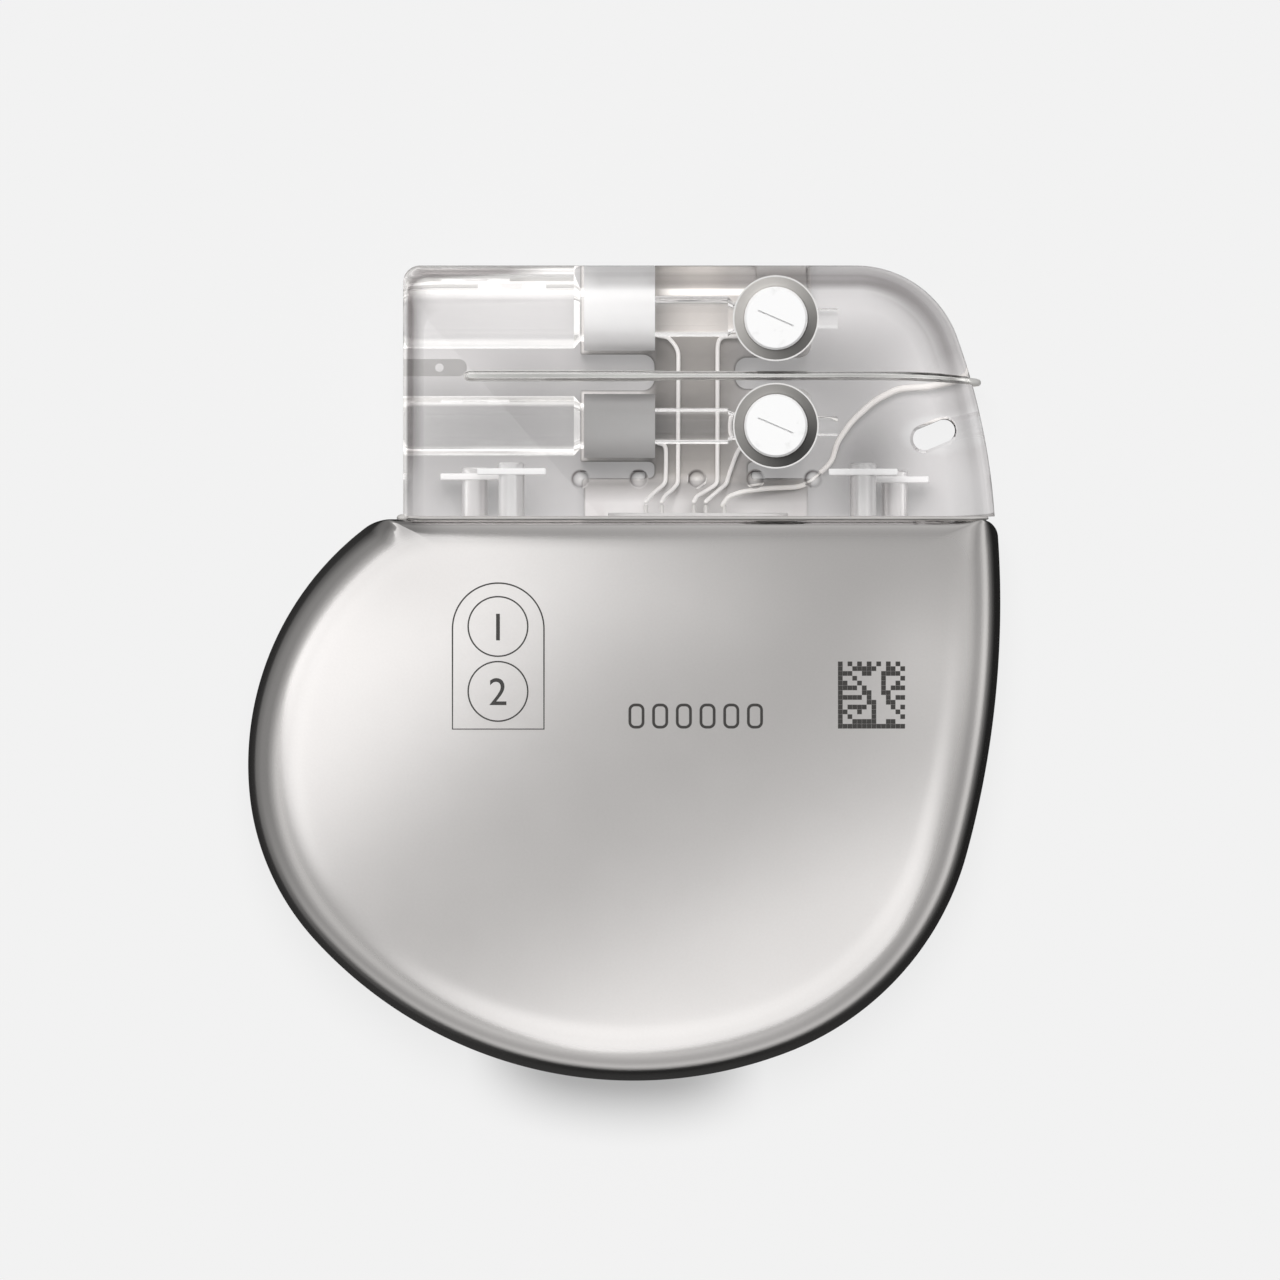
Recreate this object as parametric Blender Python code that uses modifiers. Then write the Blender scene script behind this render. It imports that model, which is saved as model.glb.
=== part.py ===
"""Dual chamber cardiac pacemaker: titanium case, clear connector header and what is inside them.

Lengths are written in millimetres and turned into metres by mm().  X runs to the right along the
header, Y from the case towards the header, Z out of the front face.  The flat rear face lies on Z = 0.
"""
import math

import bmesh
import bpy
from mathutils import Matrix, Vector

OBJECT_NAME = "cardiac_pacemaker"

# Overall sizes
THICKNESS = 7.5
SEAM_Z = THICKNESS / 2
SEAM_GAP = 0.1
WALL = 0.4
FIT = 0.1

# Case outline: five tangent arcs from the upper left round the bottom to the upper right.
# The first arc's centre, the radii, and the direction angles where one arc hands over to the next.
# The straight top line cuts TOP_CUT off the first arc.
FIRST_CENTRE = (-4.65, -5.44)
ARC_RADII = (17.68, 14.99, 25.60, 17.53, 56.62)
TOP_CUT = 3.12
CASE_TOP_Y = FIRST_CENTRE[1] + ARC_RADII[0] - TOP_CUT
ARC_JOINTS = (185.6, 222.1, 290.6, 344.7)
ARC_STEPS = (11, 7, 13, 10, 5)
CORNER_STEPS = 5
LEFT_CORNER_R = 2.6
RIGHT_CORNER_R = 1.1
INNER_LEFT_CORNER_R = 4.0
INNER_RIGHT_CORNER_R = 2.2

# Drawn edge of a half shell: how far it runs in from the outline and how deep it is
EDGE_IN = 3.4
EDGE_DEEP = 3.25
TOP_EDGE_IN = 1.3
TOP_EDGE_DEEP = 0.9
EDGE_STEPS = 5

# Header outline
HEADER_LEFT_X = -13.12
HEADER_TOP_Y = 24.17
BOND_GAP = 0.06
BOND_THICK = 0.10
HEADER_BASE_Y = CASE_TOP_Y + 2 * BOND_GAP + BOND_THICK
HEADER_CORNER_R = 1.0
SHOULDER_X = 13.70
SHOULDER_R = 6.4
SHOULDER_TURN = 70.0
SIDE_R = 38.5
HEADER_EDGE_IN = 2.6
HEADER_EDGE_DEEP = 2.0
HEADER_LEFT_EDGE_IN = 1.2
HEADER_LEFT_EDGE_DEEP = 1.2

# Connector cavities, along X at mid thickness
PORT_Y = {"atrial": 21.03, "ventricular": 14.66}
RING_INNER_R = 1.36
RING_WALL = 0.54
RING_OUTER_R = RING_INNER_R + RING_WALL
SEAT_FIT = 0.06
PORT_BORE_R = RING_OUTER_R - 0.13
RING_X = (-2.40, 1.81)
PORT_BORE_END_X = RING_X[0] - 0.60
PORT_CONE_END_X = RING_X[0] - 0.25
SEAL_BORE_R = RING_INNER_R - 0.285
SEAL_BORE_END_X = 6.13
TIP_BORE_R = 0.83
TIP_BORE_START_X = 6.43
TIP_BLOCK_X = (7.79, 10.87)
TIP_BLOCK_WIDE = 3.0
TIP_BLOCK_Z = (SEAM_Z - RING_OUTER_R, SEAM_Z + 1.8)
PIN_POCKET_R = 0.6
PIN_POCKET_END_X = 12.65

# Set screws, seal plugs and their wells, along Z
WELL_X = 8.97
PLUG_R = 1.87
WELL_RIM_R = PLUG_R + 0.67
LEDGE_Z = TIP_BLOCK_Z[1] + 0.4
PLUG_THICK = 0.8
PLUG_Z = (LEDGE_Z + FIT, LEDGE_Z + FIT + PLUG_THICK)
WELL_CONE_Z = PLUG_Z[1] - 0.23
HEADER_FRONT_Z = PLUG_Z[1] + 0.40
HEADER_REAR_Z = THICKNESS - HEADER_FRONT_Z
PLUG_FIT = 0.08
LEDGE_HOLE_R = 1.3
SCREW_R = 0.92
SCREW_HOLE_R = SCREW_R + 0.08
SCREW_LONG = 1.2
SCREW_REST_Z = SEAM_Z + TIP_BORE_R + 0.12
SCREW_SOCKET_R = 0.5
SCREW_SOCKET_DEEP = 0.6
SLIT_LONG = 2.46
SLIT_WIDE = 0.08
SLIT_DEEP = 0.5
SLIT_TURN = -24.5

# Wire channel at the back of the header
SEAL_WALL = 0.325
CHANNEL_FLOOR_Z = SEAM_Z - SEAL_BORE_R - SEAL_WALL
BACKFILL_Z = SEAM_Z - RING_OUTER_R - FIT
CHANNEL_COLUMN_X = (1.80, 6.55)
CHANNEL_LEFT_X = RING_X[0] - 0.20
CHANNEL_RIGHT_X = 11.80
CHANNEL_TOP_Y = PORT_Y["atrial"] + RING_OUTER_R + 0.27
CHANNEL_FOOT_X = (-2.40, 10.87)
CHANNEL_FOOT_Y = 11.55
TONGUE_R = 0.7
WIRE_R = 0.1
WIRE_Z = CHANNEL_FLOOR_Z - WIRE_R - 0.05

# Feedthrough
PIN_X = (1.27, 2.22, 4.12, 4.83, 5.92)
PIN_R = 0.14
PIN_Y = (6.40, 10.0)
FERRULE_X = (-0.98, 9.69)
FLANGE_Y = (CASE_TOP_Y + 0.08, CASE_TOP_Y + 0.38)
FLANGE_WIDE = 3.4
NECK_WIDE = 2.4
NECK_LONG = 9.4
NECK_BOTTOM_Y = CASE_TOP_Y - 1.22
FERRULE_WALL = 0.5
PIN_FIT = 0.08

# Anchor posts: x, top y, z
POSTS = {
    "anchor_post_left_rear": (-8.88, 12.19, 2.2),
    "anchor_post_left_front": (-6.70, 12.49, 5.3),
    "anchor_post_right_front": (14.15, 12.46, 5.3),
    "anchor_post_right_rear": (16.02, 12.02, 2.2),
}
POST_R = 0.775
POST_FOOT_Y = CASE_TOP_Y + 0.05
BAR_LONG = 4.1
BAR_TALL = 0.38
BAR_WIDE = 1.0
BAR_DROP = 0.35

# Suture hole
SUTURE_X = 18.37
SUTURE_Y = 14.14
SUTURE_WIDE = 1.35
SUTURE_LONG = 2.65
SUTURE_TURN = 23.0

# Antenna wire
ANTENNA_R = 0.29
ANTENNA_Y = 17.63
ANTENNA_START_X = -9.20

# Inside the case
BATTERY_TOP_Y = -6.2
BATTERY_Z = (0.95, 6.55)
BATTERY_IN = 1.3
BOARD_X = (-14.0, 17.0)
BOARD_Y = (-4.9, 5.0)
BOARD_Z = (2.6, 3.2)
PARTS_Z = BOARD_Z[1] + FIT


def mm(value):
    """Millimetres to metres."""
    return value * 0.001


def clear_scene():
    """Remove everything that is in the scene."""
    for thing in list(bpy.data.objects):
        bpy.data.objects.remove(thing, do_unlink=True)


clear_scene()
parts = bpy.data.collections.new(OBJECT_NAME)
cutters = bpy.data.collections.new("cutters")
bpy.context.scene.collection.children.link(parts)
bpy.context.scene.collection.children.link(cutters)


def material(name, colour, roughness, metallic=0.0, alpha=1.0):
    """One Principled material."""
    made = bpy.data.materials.new(name)
    made.use_nodes = True
    shader = made.node_tree.nodes["Principled BSDF"]
    shader.inputs["Base Color"].default_value = (*colour, 1.0)
    shader.inputs["Roughness"].default_value = roughness
    shader.inputs["Metallic"].default_value = metallic
    shader.inputs["Alpha"].default_value = alpha
    made.diffuse_color = (*colour, alpha)
    return made


def add(name, data, colour=None, roughness=0.5, metallic=0.0, alpha=1.0):
    """Put an object into the parts, or with no colour into the cutters."""
    thing = bpy.data.objects.new(name, data)
    if colour is None:
        cutters.objects.link(thing)
        thing.hide_render = True
        thing.display_type = "WIRE"
    else:
        parts.objects.link(thing)
        data.materials.append(material(name + "_material", colour, roughness, metallic, alpha))
    return thing


def box(name, x_range, y_range, z_range, *look):
    """Rectangular block between two corners."""
    size = [mm(high - low) for low, high in (x_range, y_range, z_range)]
    middle = [mm((high + low) / 2) for low, high in (x_range, y_range, z_range)]
    mesh = bpy.data.meshes.new(name)
    shape = bmesh.new()
    bmesh.ops.create_cube(shape, size=1.0, matrix=Matrix.Diagonal((*size, 1.0)))
    shape.to_mesh(mesh)
    shape.free()
    thing = add(name, mesh, *look)
    thing.location = middle
    return thing


def soften(thing, width, segments=1):
    """Round the edges of a block."""
    rounding = thing.modifiers.new("edge_rounding", "BEVEL")
    rounding.width = mm(width)
    rounding.segments = segments
    rounding.limit_method = "ANGLE"
    return thing


def aim(axis):
    """Turn that lays a shape's own Z axis along X, Y or Z."""
    return {"X": (0.0, math.pi / 2, 0.0), "Y": (-math.pi / 2, 0.0, 0.0), "Z": (0.0, 0.0, 0.0)}[axis]


def rod(name, radius, span, across, axis, sides, *look):
    """Cylinder along an axis; span is where it runs, across its other two coordinates in XYZ order."""
    mesh = bpy.data.meshes.new(name)
    shape = bmesh.new()
    bmesh.ops.create_cone(shape, cap_ends=True, segments=sides, radius1=mm(radius), radius2=mm(radius),
                          depth=mm(span[1] - span[0]))
    shape.to_mesh(mesh)
    shape.free()
    thing = add(name, mesh, *look)
    middle = (span[0] + span[1]) / 2
    place = list(across)
    place.insert("XYZ".index(axis), middle)
    thing.location = [mm(value) for value in place]
    thing.rotation_euler = aim(axis)
    return thing


def turned(name, profile, place, axis, sides, *look):
    """Body of revolution: profile holds (radius, height) from the top down its outer side."""
    mesh = bpy.data.meshes.new(name)
    count = len(profile)
    closed = profile[0][0] > 0
    lines = [(i, i + 1) for i in range(count - 1)]
    if closed:
        lines.append((count - 1, 0))
    mesh.from_pydata([(mm(radius), 0.0, mm(height)) for radius, height in profile], lines, [])
    thing = add(name, mesh, *look)
    spin = thing.modifiers.new("turning", "SCREW")
    spin.axis = "Z"
    spin.angle = 2 * math.pi
    spin.steps = sides
    spin.render_steps = sides
    spin.use_merge_vertices = True
    spin.merge_threshold = 0.000001
    spin.use_smooth_shade = False
    thing.location = [mm(value) for value in place]
    thing.rotation_euler = aim(axis)
    return thing


def baked(thing):
    """Replace a curve by the mesh it makes, so that it can be cut or can cut."""
    bpy.context.view_layer.update()
    graph = bpy.context.evaluated_depsgraph_get()
    mesh = bpy.data.meshes.new_from_object(thing.evaluated_get(graph))
    shape = bmesh.new()
    shape.from_mesh(mesh)
    bmesh.ops.remove_doubles(shape, verts=shape.verts, dist=0.000001)
    bmesh.ops.recalc_face_normals(shape, faces=shape.faces)
    shape.to_mesh(mesh)
    shape.free()
    name = thing.name
    home = thing.users_collection[0]
    hidden = thing.hide_render
    shown = thing.display_type
    frame = thing.matrix_basis.copy()
    bpy.data.objects.remove(thing, do_unlink=True)
    solid = bpy.data.objects.new(name, mesh)
    home.objects.link(solid)
    solid.hide_render = hidden
    solid.display_type = shown
    solid.matrix_basis = frame
    return solid


def slab(name, loops, z_range, *look):
    """Flat plate: closed outlines in XY, the second and later ones are holes, extruded along Z."""
    curve = bpy.data.curves.new(name, "CURVE")
    curve.dimensions = "2D"
    curve.fill_mode = "BOTH"
    curve.extrude = mm((z_range[1] - z_range[0]) / 2)
    curve.render_resolution_u = 0
    for loop in loops:
        line = curve.splines.new("POLY")
        line.points.add(len(loop) - 1)
        for point, (x, y) in zip(line.points, loop):
            point.co = (mm(x), mm(y), 0.0, 1.0)
        line.use_cyclic_u = True
    thing = add(name, curve, *look)
    thing.location = (0.0, 0.0, mm((z_range[0] + z_range[1]) / 2))
    return thing


def wire(name, path, radius, corners, *look):
    """Round wire with closed ends along a path of XYZ points."""
    curve = bpy.data.curves.new(name, "CURVE")
    curve.dimensions = "3D"
    curve.bevel_depth = mm(radius)
    curve.bevel_resolution = corners
    curve.use_fill_caps = True
    curve.render_resolution_u = 0
    line = curve.splines.new("POLY")
    line.points.add(len(path) - 1)
    for point, place in zip(line.points, path):
        point.co = (*[mm(value) for value in place], 1.0)
    return add(name, curve, *look)


def boolean(target, tool, operation="DIFFERENCE"):
    """Exact boolean of a mesh with a mesh."""
    step = target.modifiers.new(operation.lower() + "_" + tool.name, "BOOLEAN")
    step.operation = operation
    step.solver = "EXACT"
    step.object = tool
    return target


def loft(name, rings, *look):
    """Closed body through rings of equally many XYZ points, with a flat cap on each end."""
    mesh = bpy.data.meshes.new(name)
    count = len(rings[0])
    points = [tuple(mm(value) for value in point) for ring in rings for point in ring]
    faces = [tuple(reversed(range(count)))]
    for level in range(len(rings) - 1):
        low = level * count
        for i in range(count):
            j = (i + 1) % count
            faces.append((low + i, low + j, low + count + j, low + count + i))
    faces.append(tuple(range((len(rings) - 1) * count, len(rings) * count)))
    mesh.from_pydata(points, [], faces)
    shape = bmesh.new()
    shape.from_mesh(mesh)
    bmesh.ops.recalc_face_normals(shape, faces=shape.faces)
    shape.to_mesh(mesh)
    shape.free()
    return add(name, mesh, *look)


def arc(centre, radius, start, end, steps, last=False):
    """Points along an arc, angles in degrees; the end point is left out unless asked for."""
    angles = [math.radians(start + (end - start) * i / steps) for i in range(steps + (1 if last else 0))]
    return [(centre[0] + radius * math.cos(a), centre[1] + radius * math.sin(a)) for a in angles]


def rounded(corners, steps=3):
    """Closed outline through (x, y, radius) corners, each rounded by its radius."""
    points = []
    count = len(corners)
    for i, (x, y, radius) in enumerate(corners):
        here = Vector((x, y))
        before = (Vector(corners[i - 1][:2]) - here).normalized()
        after = (Vector(corners[(i + 1) % count][:2]) - here).normalized()
        if radius <= 0:
            points.append((x, y))
            continue
        half = before.angle(after) / 2
        reach = radius / math.tan(half)
        centre = here + (before + after).normalized() * (radius / math.sin(half))
        first = here + before * reach - centre
        turn = (here + after * reach - centre).angle_signed(first)
        for k in range(steps + 1):
            spoke = first.copy()
            spoke.rotate(Matrix.Rotation(turn * k / steps, 2))
            points.append(tuple(centre + spoke))
    return points


def stadium(long, wide, steps=5):
    """Outline of a long round-ended slot about the origin, long way along X."""
    radius = wide / 2
    reach = long / 2 - radius
    return arc((reach, 0), radius, -90, 90, steps, True) + arc((-reach, 0), radius, 90, 270, steps, True)


def arc_centres():
    """Centres of the five case arcs, each tangent to the one before."""
    centres = [FIRST_CENTRE]
    for i, angle in enumerate(ARC_JOINTS):
        step = ARC_RADII[i] - ARC_RADII[i + 1]
        x, y = centres[-1]
        centres.append((x + step * math.cos(math.radians(angle)), y + step * math.sin(math.radians(angle))))
    return centres


def case_section(side_in, top_in, blend):
    """Case outline moved in by side_in, its top line by top_in; blend 0 has the outer corner radii."""
    centres = arc_centres()
    top = CASE_TOP_Y - top_in
    left_r = LEFT_CORNER_R + (INNER_LEFT_CORNER_R - LEFT_CORNER_R) * blend
    right_r = RIGHT_CORNER_R + (INNER_RIGHT_CORNER_R - RIGHT_CORNER_R) * blend

    def corner(centre, radius, small, side):
        """Centre of a corner arc that touches the top line and the given big arc."""
        y = top - small
        reach = radius - side_in - small
        x = centre[0] + side * math.sqrt(reach ** 2 - (y - centre[1]) ** 2)
        return (x, y), math.degrees(math.atan2(y - centre[1], x - centre[0]))

    left, left_angle = corner(centres[0], ARC_RADII[0], left_r, -1)
    right, right_angle = corner(centres[4], ARC_RADII[4], right_r, 1)
    starts = [left_angle] + list(ARC_JOINTS)
    ends = list(ARC_JOINTS) + [360 + right_angle]
    points = arc(left, left_r, 90, left_angle, CORNER_STEPS)
    weights = [1 - i / CORNER_STEPS for i in range(CORNER_STEPS)]
    for i in range(5):
        points += arc(centres[i], ARC_RADII[i] - side_in, starts[i], ends[i], ARC_STEPS[i])
        weights += [0.0] * ARC_STEPS[i]
    points += arc(right, right_r, 360 + right_angle, 450, CORNER_STEPS, True)
    weights += [i / CORNER_STEPS for i in range(CORNER_STEPS + 1)]
    for i in range(1, 5):
        share = i / 5
        points.append((right[0] + (left[0] - right[0]) * share, top))
        weights.append(1.0)
    return points, weights


def coarse(section):
    """Every other point of a case section, without those along its straight top line."""
    bend = section[:-4]
    return bend[:1] + bend[2:-1:2] + bend[-1:]


def case_rings(inset, steps, edge_in=EDGE_IN, edge_deep=EDGE_DEEP, half=SEAM_Z, seam=SEAM_GAP / 2,
               top_in=TOP_EDGE_IN, top_deep=TOP_EDGE_DEEP):
    """Rings from the seam up to a flat face, as heights above the seam plane."""
    rings = []
    for k in range(-1, steps + 1):
        angle = math.pi / 2 * max(k, 0) / steps
        run = 1 - math.cos(angle)
        rise = math.sin(angle)
        points, weights = case_section(inset + edge_in * run, inset + top_in * run, run)
        ring = []
        for (x, y), weight in zip(points, weights):
            side_z = half - edge_deep * (1 - rise)
            top_z = half - top_deep * (1 - rise)
            z = seam if k < 0 else side_z + (top_z - side_z) * weight
            ring.append((x, y, z))
        rings.append(ring)
    return rings


def flip(rings, sign):
    """Heights above or below the seam plane to real heights."""
    return [[(x, y, SEAM_Z + sign * z) for x, y, z in ring] for ring in rings]


def half_shell(name, sign):
    """Drawn half of the case: an outer skin, an inner skin a wall inside it, and the seam edge."""
    outer = flip(case_rings(0.0, EDGE_STEPS), sign)
    inner = flip(case_rings(WALL, EDGE_STEPS - 2, EDGE_IN - WALL, EDGE_DEEP - WALL, SEAM_Z - WALL,
                            top_in=TOP_EDGE_IN - WALL, top_deep=TOP_EDGE_DEEP - WALL), sign)
    return loft(name, list(reversed(inner)) + outer, (0.62, 0.60, 0.58), 0.38, 1.0)


def battery_shell(name):
    """Sealed battery that follows the lower part of the case."""
    half = (BATTERY_Z[1] - BATTERY_Z[0]) / 2
    rings = case_rings(WALL + BATTERY_IN, 3, edge_in=1.2, edge_deep=1.5, half=half, seam=0.2,
                       top_in=1.2, top_deep=1.5)
    whole = list(reversed(flip(rings, -1))) + flip(rings, 1)
    return loft(name, whole, (0.55, 0.55, 0.56), 0.35, 1.0)


def header_section(edge, left_edge):
    """Header outline moved in by edge, on its left side by left_edge; its base line stays."""
    left = HEADER_LEFT_X + left_edge
    top = HEADER_TOP_Y - edge
    small = HEADER_CORNER_R + 0.3 * left_edge
    points = [(left, HEADER_BASE_Y)]
    weights = [0.0]
    corner = arc((left + small, top - small), small, 180, 90, 4, True)
    points += corner
    weights += [i / 4 for i in range(5)]
    shoulder_centre = (SHOULDER_X, HEADER_TOP_Y - SHOULDER_R)
    for share in (0.25, 0.5, 0.75):
        points.append((left + small + (SHOULDER_X - left - small) * share, top))
        weights.append(1.0)
    points += arc(shoulder_centre, SHOULDER_R - edge, 90, 90 - SHOULDER_TURN, 8)
    weights += [1.0] * 8
    hand_over = math.radians(90 - SHOULDER_TURN)
    step = SHOULDER_R - SIDE_R
    centre = (shoulder_centre[0] + step * math.cos(hand_over),
              shoulder_centre[1] + step * math.sin(hand_over))
    foot = math.degrees(math.asin((HEADER_BASE_Y - centre[1]) / (SIDE_R - edge)))
    points += arc(centre, SIDE_R - edge, 90 - SHOULDER_TURN, foot, 5, True)
    weights += [1.0] * 6
    return points, weights


def header_shape(name, *look):
    """Outer shape of the header, its edges rounded more at the top and right than at the left."""
    steps = 4
    rings = []
    levels = [(-1, k) for k in range(steps, -1, -1)] + [(1, k) for k in range(0, steps + 1)]
    for sign, k in levels:
        angle = math.pi / 2 * k / steps
        run = 1 - math.cos(angle)
        rise = math.sin(angle)
        points, weights = header_section(HEADER_EDGE_IN * run, HEADER_LEFT_EDGE_IN * run)
        half = (HEADER_FRONT_Z - HEADER_REAR_Z) / 2
        ring = []
        for (x, y), weight in zip(points, weights):
            deep = HEADER_LEFT_EDGE_DEEP + (HEADER_EDGE_DEEP - HEADER_LEFT_EDGE_DEEP) * weight
            ring.append((x, y, SEAM_Z + sign * (half - deep * (1 - rise))))
        rings.append(ring)
    return loft(name, rings, *look)


def channel_outline(gap):
    """Outline of the wire channel in the back of the header, gap inside it for the backfill."""
    r = TONGUE_R
    left = CHANNEL_LEFT_X + gap
    ring_r = RING_OUTER_R + 2 * FIT
    high = PORT_Y["atrial"]
    low = PORT_Y["ventricular"]
    column_left, column_right = CHANNEL_COLUMN_X
    column_left += gap
    column_right -= gap
    right = CHANNEL_RIGHT_X - gap
    foot_left = CHANNEL_FOOT_X[0] + gap
    foot_right = CHANNEL_FOOT_X[1] - gap
    foot_top = CHANNEL_FOOT_Y - gap
    top = CHANNEL_TOP_Y - gap
    base = HEADER_BASE_Y + (gap if gap > 0 else -0.5)
    return rounded([
        (foot_left, base, 0),
        (foot_right, base, 0),
        (foot_right, foot_top, 0.4),
        (7.3 - gap, foot_top, 0.3),
        (7.3 - gap, 12.55 + gap, 0.3),
        (right, 12.55 + gap, 1.2),
        (right, 16.85 - gap, r),
        (column_right, 16.85 - gap, r),
        (column_right, 18.75 + gap, r),
        (right, 18.75 + gap, r),
        (right, top, r),
        (left, top, 0.2),
        (left, high - ring_r + gap, 0.1),
        (column_left, high - ring_r + gap, r),
        (column_left, low + ring_r - gap, r),
        (left, low + ring_r - gap, 0.1),
        (left, low - ring_r + gap, 0.1),
        (column_left, low - ring_r + gap, 0.35),
        (column_left, foot_top, 0.35),
        (foot_left, foot_top, 0.4),
    ])


def antenna_path():
    """Centre line of the antenna wire: along the front, round the right edge, back to its pin."""
    front = HEADER_FRONT_Z - 0.30
    return [
        (ANTENNA_START_X, ANTENNA_Y, front),
        (15.0, ANTENNA_Y, front),
        (17.2, ANTENNA_Y - 0.04, front - 0.02),
        (18.5, ANTENNA_Y - 0.12, front - 0.18),
        (19.5, ANTENNA_Y - 0.24, front - 0.62),
        (20.35, ANTENNA_Y - 0.34, front - 1.35),
        (20.85, ANTENNA_Y - 0.38, front - 2.25),
        (20.98, ANTENNA_Y - 0.40, SEAM_Z),
        (20.80, ANTENNA_Y - 0.43, 2.45),
        (20.20, ANTENNA_Y - 0.48, 1.45),
        (19.10, ANTENNA_Y - 0.58, 0.85),
        (17.60, ANTENNA_Y - 0.66, 0.56),
        (16.26, ANTENNA_Y - 0.75, 0.54),
        (14.90, 16.20, 0.54),
        (13.54, 15.00, 0.54),
        (12.63, 13.70, 0.54),
        (12.33, 12.60, 0.70),
        (11.78, 12.02, 1.05),
        (10.60, 11.05, 2.08),
        (8.32, 10.95, 2.85),
        (6.90, 10.75, 3.45),
        (6.15, 10.45, 3.75),
        (5.92, 10.14, 3.75),
    ]


# Case
for sign, name in ((1, "front_case"), (-1, "rear_case")):
    shell = half_shell(name, sign)
opening = baked(slab("feedthrough_opening", [stadium(NECK_LONG + 2 * FIT, NECK_WIDE + 2 * FIT, 5)],
                     (-1.2, 1.2)))
FERRULE_MIDDLE = (FERRULE_X[0] + FERRULE_X[1]) / 2
opening.location = (mm(FERRULE_MIDDLE), mm(CASE_TOP_Y - 0.2), mm(SEAM_Z))
opening.rotation_euler = aim("Y")
for name in ("front_case", "rear_case"):
    boolean(bpy.data.objects[name], opening)

band_outer = coarse(case_section(WALL + FIT, WALL + FIT, 0.0)[0])
band_inner = coarse(case_section(WALL + FIT + 0.3, WALL + FIT + 0.3, 0.0)[0])
band = baked(slab("weld_band", [band_outer, band_inner], (SEAM_Z - 0.4, SEAM_Z + 0.4),
                  (0.60, 0.58, 0.56), 0.4, 1.0))
band.data.materials.clear()
band.data.materials.append(material("weld_band_titanium", (0.60, 0.58, 0.56), 0.4, 1.0))
band_gap = box("band_gap", (FERRULE_X[0] - 0.2, FERRULE_X[1] + 0.2), (7.0, 10.0), (2.0, 5.5))
boolean(band, band_gap)

# Feedthrough
flange = baked(slab("feedthrough_ferrule", [stadium(FERRULE_X[1] - FERRULE_X[0], FLANGE_WIDE, 5)],
                    (-(FLANGE_Y[1] - FLANGE_Y[0]) / 2, (FLANGE_Y[1] - FLANGE_Y[0]) / 2),
                    (0.7, 0.68, 0.66), 0.35, 1.0))
flange.data.materials.clear()
flange.data.materials.append(material("ferrule_titanium", (0.70, 0.68, 0.66), 0.35, 1.0))
flange.location = (mm(FERRULE_MIDDLE), mm(sum(FLANGE_Y) / 2), mm(SEAM_Z))
flange.rotation_euler = aim("Y")
neck_long = FLANGE_Y[0] - NECK_BOTTOM_Y + 0.1
neck = baked(slab("ferrule_neck", [stadium(NECK_LONG, NECK_WIDE, 5)], (-neck_long / 2, neck_long / 2)))
neck.location = (mm(FERRULE_MIDDLE), mm(NECK_BOTTOM_Y + neck_long / 2), mm(SEAM_Z))
neck.rotation_euler = aim("Y")
seat_outline = stadium(NECK_LONG - 2 * FERRULE_WALL, NECK_WIDE - 2 * FERRULE_WALL, 5)
seat = baked(slab("insulator_seat", [seat_outline], (-1.5, 1.5)))
seat.location = (mm(FERRULE_MIDDLE), mm(CASE_TOP_Y - 0.22), mm(SEAM_Z))
seat.rotation_euler = aim("Y")
boolean(flange, neck, "UNION")
boolean(flange, seat)
inset = 2 * FERRULE_WALL + 2 * FIT
insulator = baked(slab("feedthrough_insulator", [stadium(NECK_LONG - inset, NECK_WIDE - inset, 5)],
                       (-0.75, 0.75), (0.93, 0.92, 0.89), 0.45))
insulator.data.materials.clear()
insulator.data.materials.append(material("alumina", (0.93, 0.92, 0.89), 0.45))
insulator.location = (mm(FERRULE_MIDDLE), mm(CASE_TOP_Y - 0.42), mm(SEAM_Z))
insulator.rotation_euler = aim("Y")
filter_block = box("filter_capacitor", (FERRULE_X[0] + 0.6, FERRULE_X[1] - 1.4), (6.75, 7.75), (2.75, 4.75),
                   (0.45, 0.33, 0.24), 0.5)
for number, x in enumerate(PIN_X):
    pin = rod("feedthrough_pin_" + str(number + 1), PIN_R, PIN_Y, (x, SEAM_Z), "Y", 10,
              (0.86, 0.84, 0.80), 0.25, 1.0)
    hole = rod("pin_hole_" + str(number + 1), PIN_R + PIN_FIT, (6.0, 9.9), (x, SEAM_Z), "Y", 10)
    boolean(insulator, hole)
    boolean(filter_block, hole)

# Anchor posts
for name, (x, top, z) in POSTS.items():
    post = rod(name, POST_R, (POST_FOOT_Y, top), (x, z), "Y", 16, (0.72, 0.71, 0.70), 0.3, 1.0)
    bar = box(name + "_bar", (x - BAR_LONG / 2, x + BAR_LONG / 2),
              (top - BAR_DROP - BAR_TALL, top - BAR_DROP),
              (z - BAR_WIDE / 2, z + BAR_WIDE / 2))
    boolean(post, bar, "UNION")

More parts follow.
